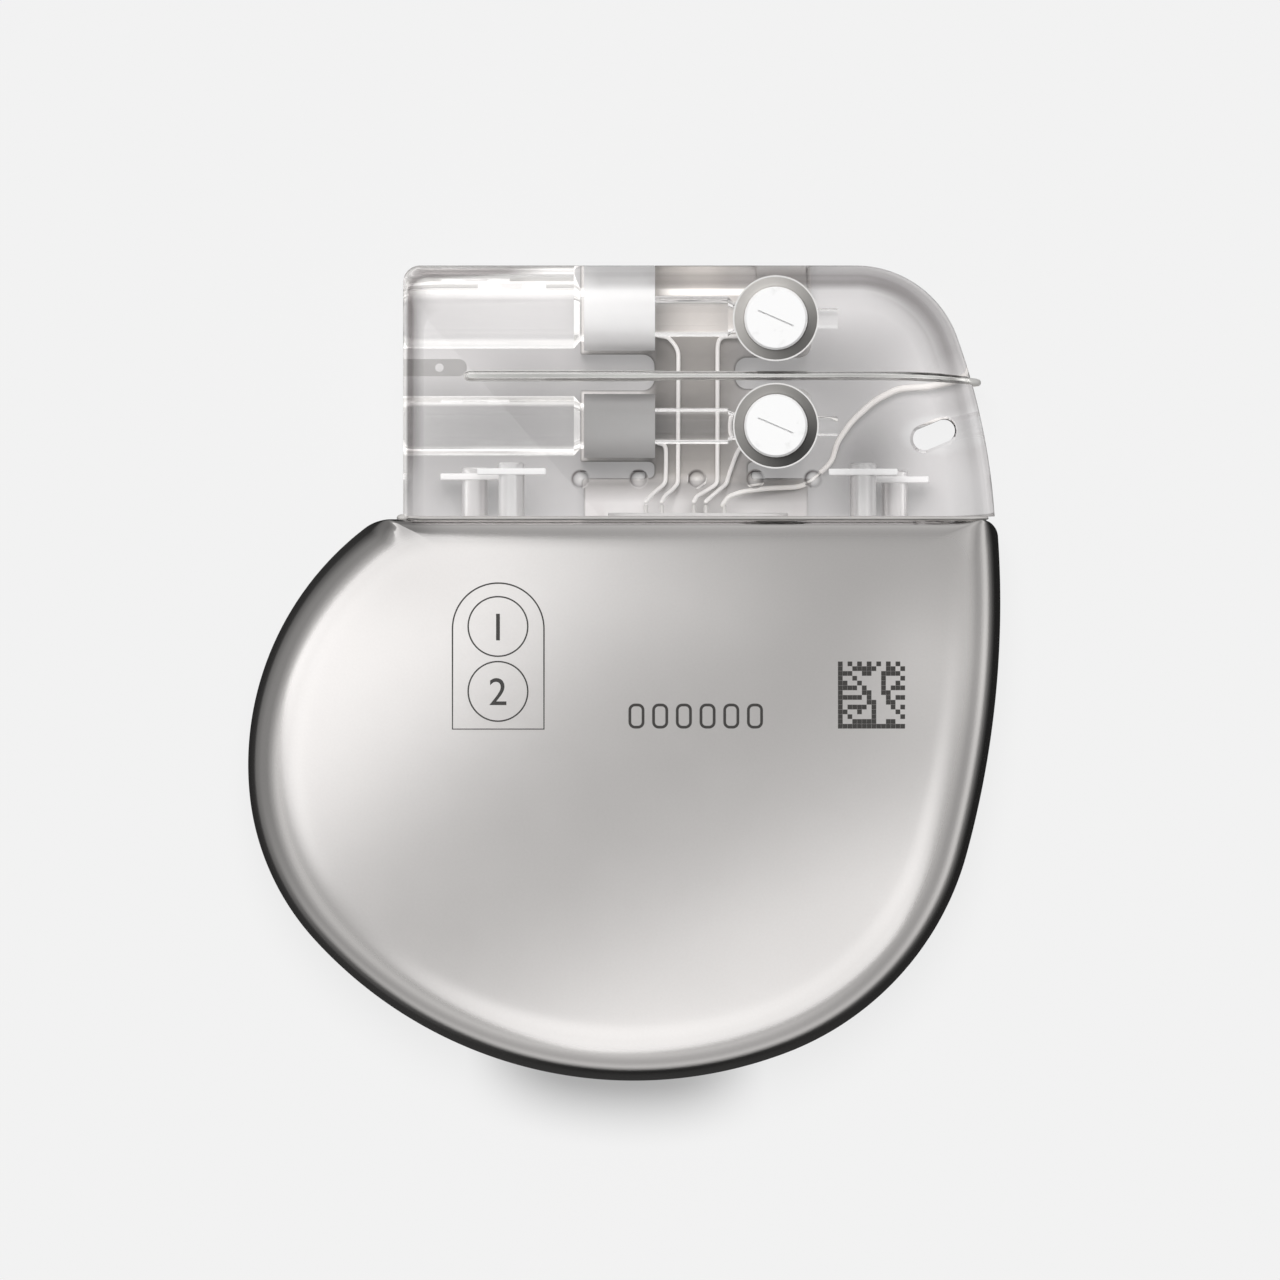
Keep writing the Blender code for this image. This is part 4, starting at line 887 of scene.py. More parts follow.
CHANNEL_FLOOR = 2.35
cuts.append(outline_solid("channel", stack(channel_outline(0.0), (-0.5, CHANNEL_FLOOR))))
foot_pocket = rounded_outline([(-1.2, 9.0, 0.2), (9.9, 9.0, 0.2), (9.9, 10.35, 0.4), (-1.2, 10.35, 0.4)])
cuts.append(outline_solid("foot_pocket", stack(foot_pocket, (CHANNEL_FLOOR - 0.5, 5.6))))
header = outline_solid("header_polymer", skin_grid, header_clear)
# The painted shade along the edge, written on the skin as an attribute.
paint(header, "painted_shade", skin_painted_shade)
header = carved(header, cuts, smooth=13.0)
coat(header, header_clear)
settle(header, "header_body")
print("header:", len(header.data.polygons), "faces,", [layer.name for layer in header.data.attributes])

# %% Silicone fill
# How light the fill looks at some heights of the column, from the foot up: Y in mm and a grey. Its changes
# with height are painted shade and light.
COLUMN_GREY_AND_PAINTED_SHADE = ((9.4, 0.80), (10.6, 0.70), (11.4, 0.58), (12.4, 0.42), (13.5, 0.33), (14.7, 0.22),
               (15.6, 0.29), (16.8, 0.38), (18.4, 0.34), (19.85, 0.40), (20.4, 0.60), (21.0, 0.76),
               (22.0, 0.92), (22.8, 0.80))
COLUMN_Y = (9.0, 24.0)
FILL_Z = (0.27, 1.75)
FILL_CHAMFER = (0.10, 0.08)


def fill_silicone():
    """Grey-brown, with painted light and shade that change the column's grey by its height and across it, and
    painted shade round the wires at its foot; paler towards its ends, its foot and its upper bore, and nearly
    black along its chamfered edge."""
    finish = Finish("fill_silicone")
    x, y, _ = finish.place_mm()
    cloud = finish.noise(1.6, detail=3.0)
    # Painted light and shade across the column.
    across = 0.62 + x.rise(2.0, 2.0) * 0.42 - x.rise(5.0, 1.2) * 0.2
    level = finish.ramp(y, *COLUMN_Y, COLUMN_GREY_AND_PAINTED_SHADE) * (0.94 + cloud * 0.12) * across
    column = finish.blend(level, BLACK, (1.0, 0.96, 0.91))
    # Painted shade round the wires at the foot.
    beside = (x - 4.6) / 1.5
    low = y.fall(11.3, 1.2) * (1.0 - (beside * beside).fading() * 0.6)
    foot_colour = finish.blend(low, (0.44, 0.43, 0.42), (0.90, 0.89, 0.885))
    foot = y.fall(11.9, 0.7)
    ends = x.rise(5.6, 2.6).at_least(x.fall(1.9)).at_least(foot)
    colour = finish.blend(ends, column, finish.blend(foot, (0.90, 0.885, 0.87), foot_colour))
    wall = finish.attribute("wall") * 0.6 * x.fall(9.5, 0.25).at_least(y.fall(10.9, 0.25) * 0.5)
    return finish.set(Base_Color=finish.blend(wall, colour, (0.05, 0.048, 0.045)),
                      Roughness=0.42 + cloud * 0.12, Normal=finish.bump(finish.noise(0.25), 0.004))


fill_rings = np.concatenate([stack(channel_outline(-0.02), (FILL_Z[0] - 0.02, FILL_Z[1] - FILL_CHAMFER[1])),
                             stack(channel_outline(FILL_CHAMFER[0]), (FILL_Z[1],))])
fill = outline_solid("channel_fill", fill_rings, fill_silicone())
paint(fill, "wall", np.repeat((1.0, 1.0, 0.0), fill_rings.shape[1]))
settle(fill, "backfill")
print("fill:", len(fill.data.polygons), "faces")

# %% [markdown]
# ## Metal inside the header
#
# Each bore runs through a contact ring with a coiled spring in it, and ends in a block with a set screw.
# They are turned from stainless metal, so they are brighter and smoother than the can, with fine tool marks
# round their axis. Metal cast into clear polymer also gets light back from the bright pieces round it, more
# than a ray that crosses the skin's painted shade can bring, so a weak painted glow of emission stands in for
# that.

# %% Turned and drawn metal
MARK_WIDE = 0.05
MARK_DEEP = 0.0012


def bright_metal(name, tint, roughness, metallic=1.0, stretch=(1.0, 1.0, 1.0)):
    """Metal with fine marks, drawn out along the axes whose stretch is small."""
    finish = Finish(name, Metallic=metallic)
    stretched = finish.node("ShaderNodeMapping", {"Vector": finish.place, "Scale": stretch}).outputs[0]
    lines = finish.noise(MARK_WIDE, detail=1.0, vector=stretched)
    cloud = finish.noise(1.5)
    colour = finish.blend(lines * 0.5 + cloud * 0.5, scaled(tint, 0.90), tint)
    return finish.set(Base_Color=colour, Roughness=roughness + lines * 0.08,
                      Normal=finish.bump(lines, MARK_DEEP))


def add_painted_glow(look, upper, lower=None, middle=0.0):
    """Adds a painted glow, as emission, that stands in for what a piece gets back from the bright pieces
    round it: the same all over, or else from upper to lower on the way down past a middle height."""
    wiring = Wiring(look.node_tree)
    glow = (upper,) * 3
    if lower is not None:
        y = wiring.parts(wiring.node("ShaderNodeTexCoord").outputs["Object"])[1] / MM
        glow = wiring.blend(y.fall(middle + 0.4, RING_R[1]), glow, (lower,) * 3)
    shader = look.node_tree.nodes["Principled BSDF"]
    wiring.feed(shader, "Emission Color", glow)
    wiring.feed(shader, "Emission Strength", 1.0)


# The two rings are the same metal: the lower one is painted darker as shade, and each has a painted glow of
# emission, stronger on its lower half.
RING_PAINTED_SHADE_TINT = {"atrial": WHITE, "ventricular": (0.50, 0.497, 0.493)}
RING_PAINTED_GLOW = {"atrial": (0.08, 0.13), "ventricular": (0.04, 0.14)}
RING_MIDDLE = sum(RING_X) / 2
GROOVE_HALF = 0.3
GROOVE_R = RING_R[0] + 0.28
for port, y in PORT_Y.items():
    ring_metal = bright_metal("ring_metal_" + port, RING_PAINTED_SHADE_TINT[port], 0.42, 0.35, (1.0, 0.08, 0.08))
    add_painted_glow(ring_metal, *RING_PAINTED_GLOW[port], y)
    ring = turned("contact_ring_" + port, [
        (RING_R[1], RING_X[1]), (RING_R[0], RING_X[1]), (RING_R[0], RING_MIDDLE + GROOVE_HALF),
        (GROOVE_R, RING_MIDDLE + GROOVE_HALF), (GROOVE_R, RING_MIDDLE - GROOVE_HALF),
        (RING_R[0], RING_MIDDLE - GROOVE_HALF), (RING_R[0], RING_X[0]), (RING_R[1], RING_X[0])],
        (0, y, SEAM_Z), "X", ring_metal, count=96)
    settle(ring, "ring_contact_" + port)
print("contact rings at Y", list(PORT_Y.values()))


# %% A tube along a path
def rounded_path(points, radius, steps):
    """A path with each inner corner replaced by a short parabola: it leaves the corner's sides radius
    before and after it, or a third of the side where that is shorter."""
    before, here, after = points[:-2], points[1:-1], points[2:]
    into, out = before - here, after - here
    into_long = np.linalg.norm(into, axis=1, keepdims=True)
    out_long = np.linalg.norm(out, axis=1, keepdims=True)
    start = here + into / into_long * np.minimum(radius, into_long / 3)
    stop = here + out / out_long * np.minimum(radius, out_long / 3)
    t = np.linspace(0, 1, steps + 1)[None, :, None]
    bend = (1 - t) ** 2 * start[:, None] + 2 * t * (1 - t) * here[:, None] + t ** 2 * stop[:, None]
    return np.vstack([points[:1], bend.reshape(-1, points.shape[1]), points[-1:]])


def rings_along(line, ahead, side, radius, sides):
    """A grid of circles across a line: each point plus radius times (side cos + other sin), where other
    is the cross product of ahead and side. radius is one number or one for each circle."""
    other = np.cross(ahead, side)
    angle = np.linspace(0, 2 * math.pi, sides, endpoint=False)[None, :, None]
    reach = np.broadcast_to(radius, len(line))[:, None, None]
    return line[:, None] + reach * (side[:, None] * np.cos(angle) + other[:, None] * np.sin(angle))


def unit(vectors):
    return vectors / np.linalg.norm(vectors, axis=1, keepdims=True)


TUBE_SPACING = 0.12
CAP_TURNS = np.radians((90, 60, 30))[:, None]


def tube(name, path, radius, look, sides=16, corner=0.35, reference=(0.31, 0.22, 0.92),
         taper=((0, 1), (1, 1))):
    """A round tube of that radius along a path whose corners are rounded. Each ring stands across the
    path: its first axis is the part of a fixed reference vector square to the path. The ends close over
    three shrinking rings. taper lists (share of the length, share of the radius)."""
    line = rounded_path(np.array(path, float), corner, 6)
    line = line[np.concatenate([[True], np.linalg.norm(np.diff(line, axis=0), axis=1) > 1e-5])]
    reach = np.concatenate([[0], np.cumsum(np.linalg.norm(np.diff(line, axis=0), axis=1))])
    even = np.linspace(0, reach[-1], max(8, int(reach[-1] / TUBE_SPACING)))
    line = np.stack([np.interp(even, reach, line[:, axis]) for axis in range(3)], 1)
    ahead = unit(np.gradient(line, axis=0))
    side = unit(np.array(reference) - (ahead @ np.array(reference))[:, None] * ahead)
    body = np.interp(np.linspace(0, 1, len(line)), *zip(*taper))
    tip = np.maximum(np.cos(CAP_TURNS[:, 0]), 0.02)
    width = np.concatenate([tip * body[0], body, tip[::-1] * body[-1]])
    line = np.vstack([line[0] - ahead[0] * radius * np.sin(CAP_TURNS), line,
                      (line[-1] + ahead[-1] * radius * np.sin(CAP_TURNS))[::-1]])
    ahead, side = (np.vstack([np.repeat(v[:1], 3, 0), v, np.repeat(v[-1:], 3, 0)]) for v in (ahead, side))
    return surface(name, rings_along(line, ahead, side, radius * width, sides), look, ends=True, smooth=80)


print("tube helpers ready, rings every", TUBE_SPACING, "mm")

# %% [markdown]
# ## Lead wires and the antenna
#
# Two wires for each bore, one from its ring and one from its block, run down in the channel and end on
# the pins of the can. The antenna is a thicker drawn wire. It lies in front of the polymer, goes round
# the right edge, comes back behind the block and thins towards its pin.

# %% Lead wires and the antenna
WIRE_R = 0.125
WIRE_Z = 2.2
PIN_Y = 10.18
high, low = PORT_Y["atrial"], PORT_Y["ventricular"]
wire_metal = bright_metal("wire_metal", (0.99, 0.975, 0.95), 0.45, 0.15)
# A weak painted glow of emission on the wires.
add_painted_glow(wire_metal, 0.20)
WIRES = {
    "ring_atrial": [
        (1.98, high - 1.0, WIRE_Z), (2.60, high - 1.1, WIRE_Z), (3.02, high - 1.6, WIRE_Z),
        (3.20, high - 2.0, WIRE_Z), (3.17, 11.25, WIRE_Z), (2.87, 10.90, 2.6), (2.40, 10.50, 3.3),
        (2.22, PIN_Y, SEAM_Z)],
    "ring_ventricular": [
        (1.98, low - 1.0, WIRE_Z), (2.35, low - 1.1, WIRE_Z), (2.46, low - 1.36, WIRE_Z),
        (2.46, 12.15, WIRE_Z), (2.42, 11.25, WIRE_Z), (1.75, 10.70, 3.1), (1.27, PIN_Y, SEAM_Z)],
    "tip_atrial": [
        (7.66, high - 1.03, WIRE_Z), (5.90, high - 1.05, WIRE_Z), (5.62, high - 1.23, WIRE_Z),
        (5.52, high - 1.6, WIRE_Z), (5.51, 11.25, WIRE_Z), (4.92, 10.85, 2.7), (4.30, 10.50, 3.4),
        (4.12, PIN_Y, SEAM_Z)],
    "tip_ventricular": [
        (7.66, low - 0.86, WIRE_Z), (7.05, low - 1.06, WIRE_Z), (6.67, low - 1.56, WIRE_Z),
        (6.20, 11.80, WIRE_Z), (6.05, 11.22, WIRE_Z), (5.30, 10.60, 3.3), (4.83, PIN_Y, SEAM_Z)],
}
for wire_name, route in WIRES.items():
    wire = tube("wire_" + wire_name, route, WIRE_R, wire_metal)
    settle(wire, "lead_wire_" + wire_name)

ANTENNA_R = 0.34
ANTENNA = [
    (-9.20, 17.63, 6.86), (1.0, 17.63, 6.86), (15.0, 17.63, 6.95), (17.2, 17.59, 6.93),
    (18.5, 17.51, 6.77), (19.5, 17.39, 6.33), (20.35, 17.29, 5.60), (20.85, 17.25, 4.70),
    (20.98, 17.23, SEAM_Z), (20.80, 17.20, 2.45), (20.20, 17.15, 1.45), (19.10, 17.05, 0.85),
    (17.60, 16.97, 0.56), (16.26, 16.88, 0.54), (14.90, 16.20, 0.54), (13.54, 15.00, 0.54),
    (12.63, 13.70, 0.54), (12.33, 12.60, 0.70), (11.78, 12.02, 1.05), (10.60, 11.05, 2.08),
    (8.32, 10.95, 2.85), (6.90, 10.75, 3.45), (6.15, 10.45, SEAM_Z), (5.92, 10.14, SEAM_Z)]
ANTENNA_TAPER = ((0.0, 1.0), (0.19, 1.0), (0.23, 0.80), (0.52, 0.80), (0.60, 0.62), (0.74, 0.58),
                 (0.84, 0.45), (1.0, 0.40))


def antenna_finish():
    """Bright drawn wire in front; where it returns behind the polymer it is painted paler, with a weak
    painted glow of emission, and softer.
    """
    finish = Finish("antenna_metal", Emission_Strength=1.0)
    x, _, z = finish.place_mm()
    # Where the antenna is painted paler and given its painted glow: behind the polymer, and half of it round
    # the right edge.
    rear = z.fall(4.6).at_least(x.rise(19.8, 0.8) * 0.55)
    lines = finish.noise(0.06, detail=1.0)
    return finish.set(
        Base_Color=finish.blend(rear, (0.72, 0.72, 0.705), (0.99, 0.975, 0.95)), Metallic=1.0 - rear * 0.9,
        Roughness=0.12 + rear * 0.3 + lines * 0.05, Normal=finish.bump(lines, 0.0002),
        Emission_Color=finish.blend(rear, BLACK, (0.25, 0.245, 0.235)))


antenna = tube("antenna", ANTENNA, ANTENNA_R, antenna_finish(), sides=28, corner=0.9,
               reference=(0.25, 0.93, 0.26), taper=ANTENNA_TAPER)
settle(antenna, "antenna_wire")
print("wires:", len(WIRES), "and the antenna of", len(antenna.data.polygons), "faces")

# %% [markdown]
# ## Anchor posts
#
# Four metal posts with crossbars are welded to the can, and the header is cast round them, so it can't be
# pulled off. A post is a turned pin. Its crossbar is a thin flat bar with rounded edges, paler than the post,
# with a stronger painted glow of emission than the post's faint one.

# %% Posts with crossbars
POSTS = {"left_rear": (-8.88, 12.19, 2.2), "left_front": (-6.70, 12.49, 5.3),
         "right_front": (14.15, 12.46, 5.3), "right_rear": (16.02, 12.02, 2.2)}
POST_FOOT = 9.17
POST_R = 0.775
BAR_DROP = 0.54
BAR_SIZE = (4.1, 0.40, 1.64)
BAR_ROUND = 0.09


def rounded_bar(name, centre, size, radius, look):
    """A bar with rounded edges: a rounded rectangle in X and Y, stacked through Z with the same rounding
    at both faces."""
    half = np.array(size) / 2
    grid = []
    for turn in np.radians(np.linspace(-90, 90, 9)):
        inset = radius * (1 - math.cos(turn))
        x, y = half[0] - inset, half[1] - inset
        z = math.copysign(half[2] - radius, math.sin(turn)) if abs(turn) > 1e-6 else 0.0
        outline = rounded_box(-x, -y, x, y, min(radius, y * 0.98), 4)
        grid.append(at_height(outline, z + radius * math.sin(turn)))
    return outline_solid(name, np.array(grid) + np.array(centre), look)


post_metal = bright_metal("post_metal", (0.92, 0.915, 0.915), 0.28, 0.55, (1.0, 0.06, 1.0))
bar_metal = bright_metal("crossbar_metal", (0.97, 0.97, 0.97), 0.45, 0.05)
# Painted glow of emission: faint on the posts, stronger on the crossbars.
add_painted_glow(post_metal, 0.03)
add_painted_glow(bar_metal, 0.22)
for post_name, (x, top, z) in POSTS.items():
    post = turned("post_" + post_name, [
        (0, POST_FOOT), (POST_R, POST_FOOT), (POST_R, top - 0.1), (POST_R - 0.1, top), (0, top)],
        (x, 0, z), "Y", post_metal, count=48)
    bar = rounded_bar("crossbar_" + post_name, (x, top - BAR_DROP, z), BAR_SIZE, BAR_ROUND, bar_metal)
    settle(post, "anchor_post_" + post_name)
    settle(bar)
print("posts:", len(POSTS))

# %% [markdown]
# ## Seals and their slits
#
# A white silicone plug closes each well. A blade slit across it lets a wrench reach the set screw and
# closes again.

# %% White plugs
SLIT_LONG, SLIT_WIDE, SLIT_DEEP = 2.28, 0.09, 0.25
SLIT_TURN = -23.4
PLUG_CHAMFER = 0.12


def white_seal():
    finish = Finish("white_seal")
    cloud = finish.noise(0.9, detail=4.0, roughness=0.6)
    stain = cloud.rise(0.60, 1 / 6) * 0.5
    return finish.set(Base_Color=finish.blend(stain, (0.95, 0.95, 0.95), (0.72, 0.72, 0.71)),
                      Roughness=0.5 + cloud * 0.1, Normal=finish.bump(cloud, 0.01))


seal_white = white_seal()
plug_low, plug_top = PLUG_Z
for port, y in PORT_Y.items():
    plug = turned("seal_disc_" + port, [
        (0, plug_low), (PLUG_R, plug_low), (PLUG_R, plug_top - PLUG_CHAMFER),
        (PLUG_R - PLUG_CHAMFER, plug_top), (0, plug_top)],
        (WELL_X, y, 0), "Z", seal_white, count=96, smooth=40)
    blade = slot_outline(SLIT_LONG, SLIT_WIDE, (WELL_X, y), SLIT_TURN)
    slit = outline_solid("slit", stack(blade, (plug_top - SLIT_DEEP, plug_top + 0.5)))
    settle(carved(plug, [slit]), "seal_plug_" + port)
print("plugs:", len(PORT_Y))

# %% [markdown]
# ## Collars of the wells
#
# The mouth of each well is a cone that guides the wrench to the slit. A satin grey collar with a thin bright
# edge, a cone of a few hundredths of a millimetre, lies on the polymer's own cone; its pale and dark sides
# are painted light and shade, and its thin bright edge is a painted highlight. One function gives the mottled
# finish of dull pieces, and the thin edge is the first to use it.

# %% Collars
def dull_finish(name, light, dark, roughness, size=0.6, pits=0.15, spread=0.1):
    """Soft clouds of two colours, size mm wide, with pits in the surface that are pits mm wide. The
    roughness grows by up to spread where the clouds are light."""
    finish = Finish(name)
    cloud = finish.noise(size, detail=3.0)
    return finish.set(Base_Color=finish.blend(cloud, dark, light), Roughness=roughness + cloud * spread,
                      Normal=finish.bump(finish.noise(pits), 0.004))


def collar_finish():
    """Satin grey, with painted light on the side that faces the lower right and painted shade on the other,
    as the attribute facing says.
    """
    finish = Finish("collar_metal", Metallic=0.6)
    lines = finish.noise(MARK_WIDE, detail=1.0)
    colour = finish.blend(finish.attribute("facing"), (0.055, 0.054, 0.053), (0.80, 0.775, 0.745))
    return finish.set(Base_Color=colour, Roughness=0.34 + lines * 0.08, Normal=finish.bump(lines, MARK_DEEP))


COLLAR = [(1.885, 6.60), (1.885, 6.66), (2.46, 7.245), (2.50, 7.25), (2.46, 7.17), (1.93, 6.60)]
COLLAR_EDGE = [(2.455, 7.20), (2.455, 7.262), (2.545, 7.262), (2.545, 7.20)]
# The side of each collar towards which its painted light lies, and for each collar the least painted light
# and how much more it gets; the lower collar is painted darker.
COLLAR_PAINTED_LIGHT_SIDE = (-0.64, 0.77)
COLLAR_PAINTED_LIGHT_SHARE = {"atrial": (0.13, 0.87), "ventricular": (0.0, 0.6)}
collar_metal = collar_finish()
# The collar's thin bright edge: a painted highlight.
edge_painted_highlight = dull_finish("collar_edge", (0.80, 0.79, 0.78), (0.72, 0.71, 0.70), 0.3, 1.6, 0.25, 0.12)
for port, y in PORT_Y.items():
    collar = turned("collar_" + port, COLLAR, (WELL_X, y, 0), "Z", collar_metal, count=96)
    edge = turned("collar_edge_" + port, COLLAR_EDGE, (WELL_X, y, 0), "Z", edge_painted_highlight, count=96)
    spot = np.zeros(len(collar.data.vertices) * 3, np.float32)
    collar.data.vertices.foreach_get("co", spot)
    away = spot.reshape(-1, 3)[:, :2] / MM - (WELL_X, y)
    lowest, more = COLLAR_PAINTED_LIGHT_SHARE[port]
    # The painted light and shade of each collar, written as the attribute facing.
    paint(collar, "facing", lowest + more * (0.5 + 0.5 * (unit(away) @ COLLAR_PAINTED_LIGHT_SIDE)))
    settle(collar)
    settle(edge)
print("collars:", len(PORT_Y))

# %% [markdown]
# ## Contact blocks and set screws
#
# Under each seal a block takes the pin of the lead, and a screw pressed down from the front holds it. The
# block is milled with broken edges; the screw has a rolled thread, a hexagon socket and a chamfer. The
# thread's ridges are drawn as rings, since a helix as fine as this one looks the same.

# %% Blocks and screws
BLOCK_HALF = 1.5
BLOCK_Z = (1.85, 5.55)
BLOCK_BREAK = ((0.10, 0.0), (0.03, 0.03), (0.0, 0.10))
SCREW_R = 0.92
SCREW_Z = (4.70, 5.90)
SCREW_HOLE_R = 1.0
SOCKET_R = 0.5
SOCKET_DEEP = 0.6
THREAD_PITCH = 0.16
THREAD_DEEP = 0.06
contact_metal = bright_metal("contact_look", (0.78, 0.77, 0.76), 0.26)
low_z, high_z = BLOCK_Z
foot, head = SCREW_Z
levels = [(inset, low_z + up) for inset, up in BLOCK_BREAK]
levels += [(inset, high_z - down) for inset, down in BLOCK_BREAK[::-1]]
turns = np.arange(foot + 0.28, head - 0.16, THREAD_PITCH)
ridges = np.stack([np.full(len(turns) * 2, SCREW_R), np.repeat(turns, 2)], 1)
ridges[1::2] += (-THREAD_DEEP, THREAD_PITCH / 2)
screw_profile = [(0, foot), (SCREW_R - 0.25, foot), (SCREW_R - 0.03, foot + 0.2), *ridges.tolist(),
                 (SCREW_R, head - 0.10), (SCREW_R - 0.10, head), (0, head)]
for port, y in PORT_Y.items():
    block = outline_solid("contact_block_" + port, np.array([
        at_height(rounded_box(BLOCK_X[0] + inset, y - BLOCK_HALF + inset, BLOCK_X[1] - inset,
                              y + BLOCK_HALF - inset, 0.15, 4), z) for inset, z in levels]), contact_metal)
    pin_bore = turned("pin_bore", [(0, 6.0), (PIN_BORE_R, 6.0), (PIN_BORE_R, 12.0), (0, 12.0)],
                      (0, y, SEAM_Z), "X")
    screw_hole = turned("screw_hole", [(0, SEAM_Z), (SCREW_HOLE_R, SEAM_Z), (SCREW_HOLE_R, 6.5), (0, 6.5)],
                        (WELL_X, y, 0), "Z")
    settle(carved(block, [pin_bore, screw_hole]), "tip_block_" + port)
    screw = turned("screw_" + port, screw_profile, (WELL_X, y, 0), "Z", contact_metal, count=64, smooth=30)
    socket = stack(arc((WELL_X, y), SOCKET_R, 0, 360, 6, False), (head - SOCKET_DEEP, head + 0.5))
    screw = carved(screw, [outline_solid("socket", socket)])
    settle(screw, "set_screw_" + port, port + "_screw")
print("screws and blocks:", 2 * len(PORT_Y))

# %% [markdown]
# ## Contact springs
#
# Inside each contact ring lies a coil spring, bent into a circle, that touches the lead's ring electrode
# all round. Its wire is a curve with two turns in it: once round the bore, and many times round the line
# that it follows.

# %% Coiled springs
SPRING_R = 1.48
SPRING_WIRE_R = 0.026
COIL_R = 0.085
COILS = 56
spring_metal = bright_metal("spring_metal", (0.86, 0.84, 0.80), 0.18)
round_bore = np.linspace(0, 2 * math.pi, COILS * 10, endpoint=False)
outward = np.stack([np.zeros(len(round_bore)), np.cos(round_bore), np.sin(round_bore)], 1)
coil_out = SPRING_R + COIL_R * np.cos(round_bore * COILS)
coil = outward * coil_out[:, None] + np.outer(COIL_R * np.sin(round_bore * COILS), (1, 0, 0))
for port, y in PORT_Y.items():
    path = coil + (RING_MIDDLE, y, SEAM_Z)
    ahead = unit(np.roll(path, -1, 0) - np.roll(path, 1, 0))
    grid = rings_along(path, ahead, unit(np.cross(ahead, outward)), SPRING_WIRE_R, 6)
    spring = surface("contact_spring_" + port, grid, spring_metal, ring=True, smooth=80)
    settle(spring, "ring_spring_" + port)
print("springs of", COILS, "coils")

# %% [markdown]
# ## Feedthrough, adhesive and tag
#
# The wires end on five platinum pins that come out of the can through a ceramic insulator in a titanium
# flange. A thin bead of adhesive lies between can and header, with a drop left at its corner, and a small
# plate that X-rays show is cast in at the left.

# %% Flange and pins
FLANGE_MIDDLE = (4.355, SEAM_Z)
FLANGE = (10.67, 3.4)
NECK = (9.4, 2.4)
PIN_X = (1.27, 2.22, 4.12, 4.83, 5.92)
PIN_PROFILE = [(0, 6.40), (0.10, 6.40), (0.133, 6.44), (0.133, 9.90), (0.10, 9.97), (0, 10.0)]


def across_y(outline, heights, insets):
    """A grid of an outline drawn in X and Z, at several heights along Y, shrunk towards its middle by
    insets."""
    middle = (outline.max(0) + outline.min(0)) / 2
    half = (outline.max(0) - outline.min(0)) / 2
    rows = []
    for height, inset in zip(heights, insets):
        moved = middle + (outline - middle) * (1 - inset / half)
        rows.append(np.column_stack([moved[:, 0], np.full(len(moved), height), moved[:, 1]]))
    return np.array(rows)


wide_outline, neck_outline = (slot_outline(*size, FLANGE_MIDDLE, 0) for size in (FLANGE, NECK))
flange_rows = np.concatenate([
    across_y(neck_outline, (7.92, 9.2), (0, 0)), across_y(wide_outline, (9.2, 9.46, 9.5), (0, 0, 0.05)),
    across_y(neck_outline, (9.5, 9.46, 7.92), (0.45, 0.5, 0.5))])
flange_metal = bright_metal("ferrule_look", (0.93, 0.92, 0.915), 0.34, 0.4)
flange = surface("feedthrough_flange", flange_rows[:, ::-1], flange_metal, ring=True)
settle(flange, "feedthrough_ferrule")

pin_metal = bright_metal("pin_look", (0.97, 0.96, 0.94), 0.30, 0.5)
for number, x in enumerate(PIN_X, 1):
    pin = turned("feedthrough_wire_" + str(number), PIN_PROFILE, (x, 0, SEAM_Z), "Y", pin_metal, count=24)
    settle(pin, "feedthrough_pin_" + str(number))
print("feedthrough pins:", len(PIN_X))

# %% Adhesive and tag
BEAD_BOX = (-12.9, 0.72, 21.6, 6.80)
BEAD_Y = (9.08, 9.12, 9.19, 9.25, 9.31)
BEAD_INSETS = (0.12, 0.04, 0.0, 0.03, 0.12)
DROP_R, DROP_HALF = 0.34, 0.22
DROP_AT = (-13.16, 9.20, 6.35)
TAG_LEFT, TAG_RIGHT, TAG_LOW, TAG_HIGH = -12.90, -9.35, 17.61, 18.63
TAG_Z = (3.70, 3.85)
TAG_HOLE = ((-10.98, 18.12), 0.25)

adhesive = dull_finish("adhesive_look", (0.58, 0.565, 0.55), (0.50, 0.49, 0.475), 0.24, 1.6, 0.25, 0.12)
bead_rings = across_y(rounded_box(*BEAD_BOX, 0.9, 6), BEAD_Y, BEAD_INSETS)
bead = outline_solid("adhesive_bead", bead_rings[:, ::-1], adhesive, smooth=60)
settle(bead, "header_bond")
drop_turns = np.radians(np.linspace(-84, 84, 15))
drop = turned("adhesive_drop", [
    (0, -DROP_HALF), *zip(DROP_R * np.cos(drop_turns), DROP_HALF * np.sin(drop_turns)), (0, DROP_HALF)],
    DROP_AT, "Y", adhesive, count=32, smooth=80)
settle(drop)

tag_outline = rounded_outline([(TAG_LEFT, TAG_LOW, 0.05), (TAG_RIGHT, TAG_LOW, 0.5),
                               (TAG_RIGHT, TAG_HIGH, 0.5), (TAG_LEFT, TAG_HIGH, 0.05)])
tag_metal = dull_finish("tag_look", (0.46, 0.455, 0.45), (0.39, 0.385, 0.38), 0.4)
tag = outline_solid("xray_tag", stack(tag_outline, TAG_Z), tag_metal)
tag = carved(tag, [outline_solid("tag_hole", stack(arc(*TAG_HOLE, 0, 360, 40, False), (3.5, 4.0)))])
settle(tag, "xray_id_tag")
print("foot pieces:", [thing.name for thing in (flange, bead, drop, tag)])

# %% [markdown]
# ## The other pieces of the frame
#
# The pieces inside the can keep their shape from the frame and get their real finishes: steel, ceramic,
# moulded plastic, copper, film.

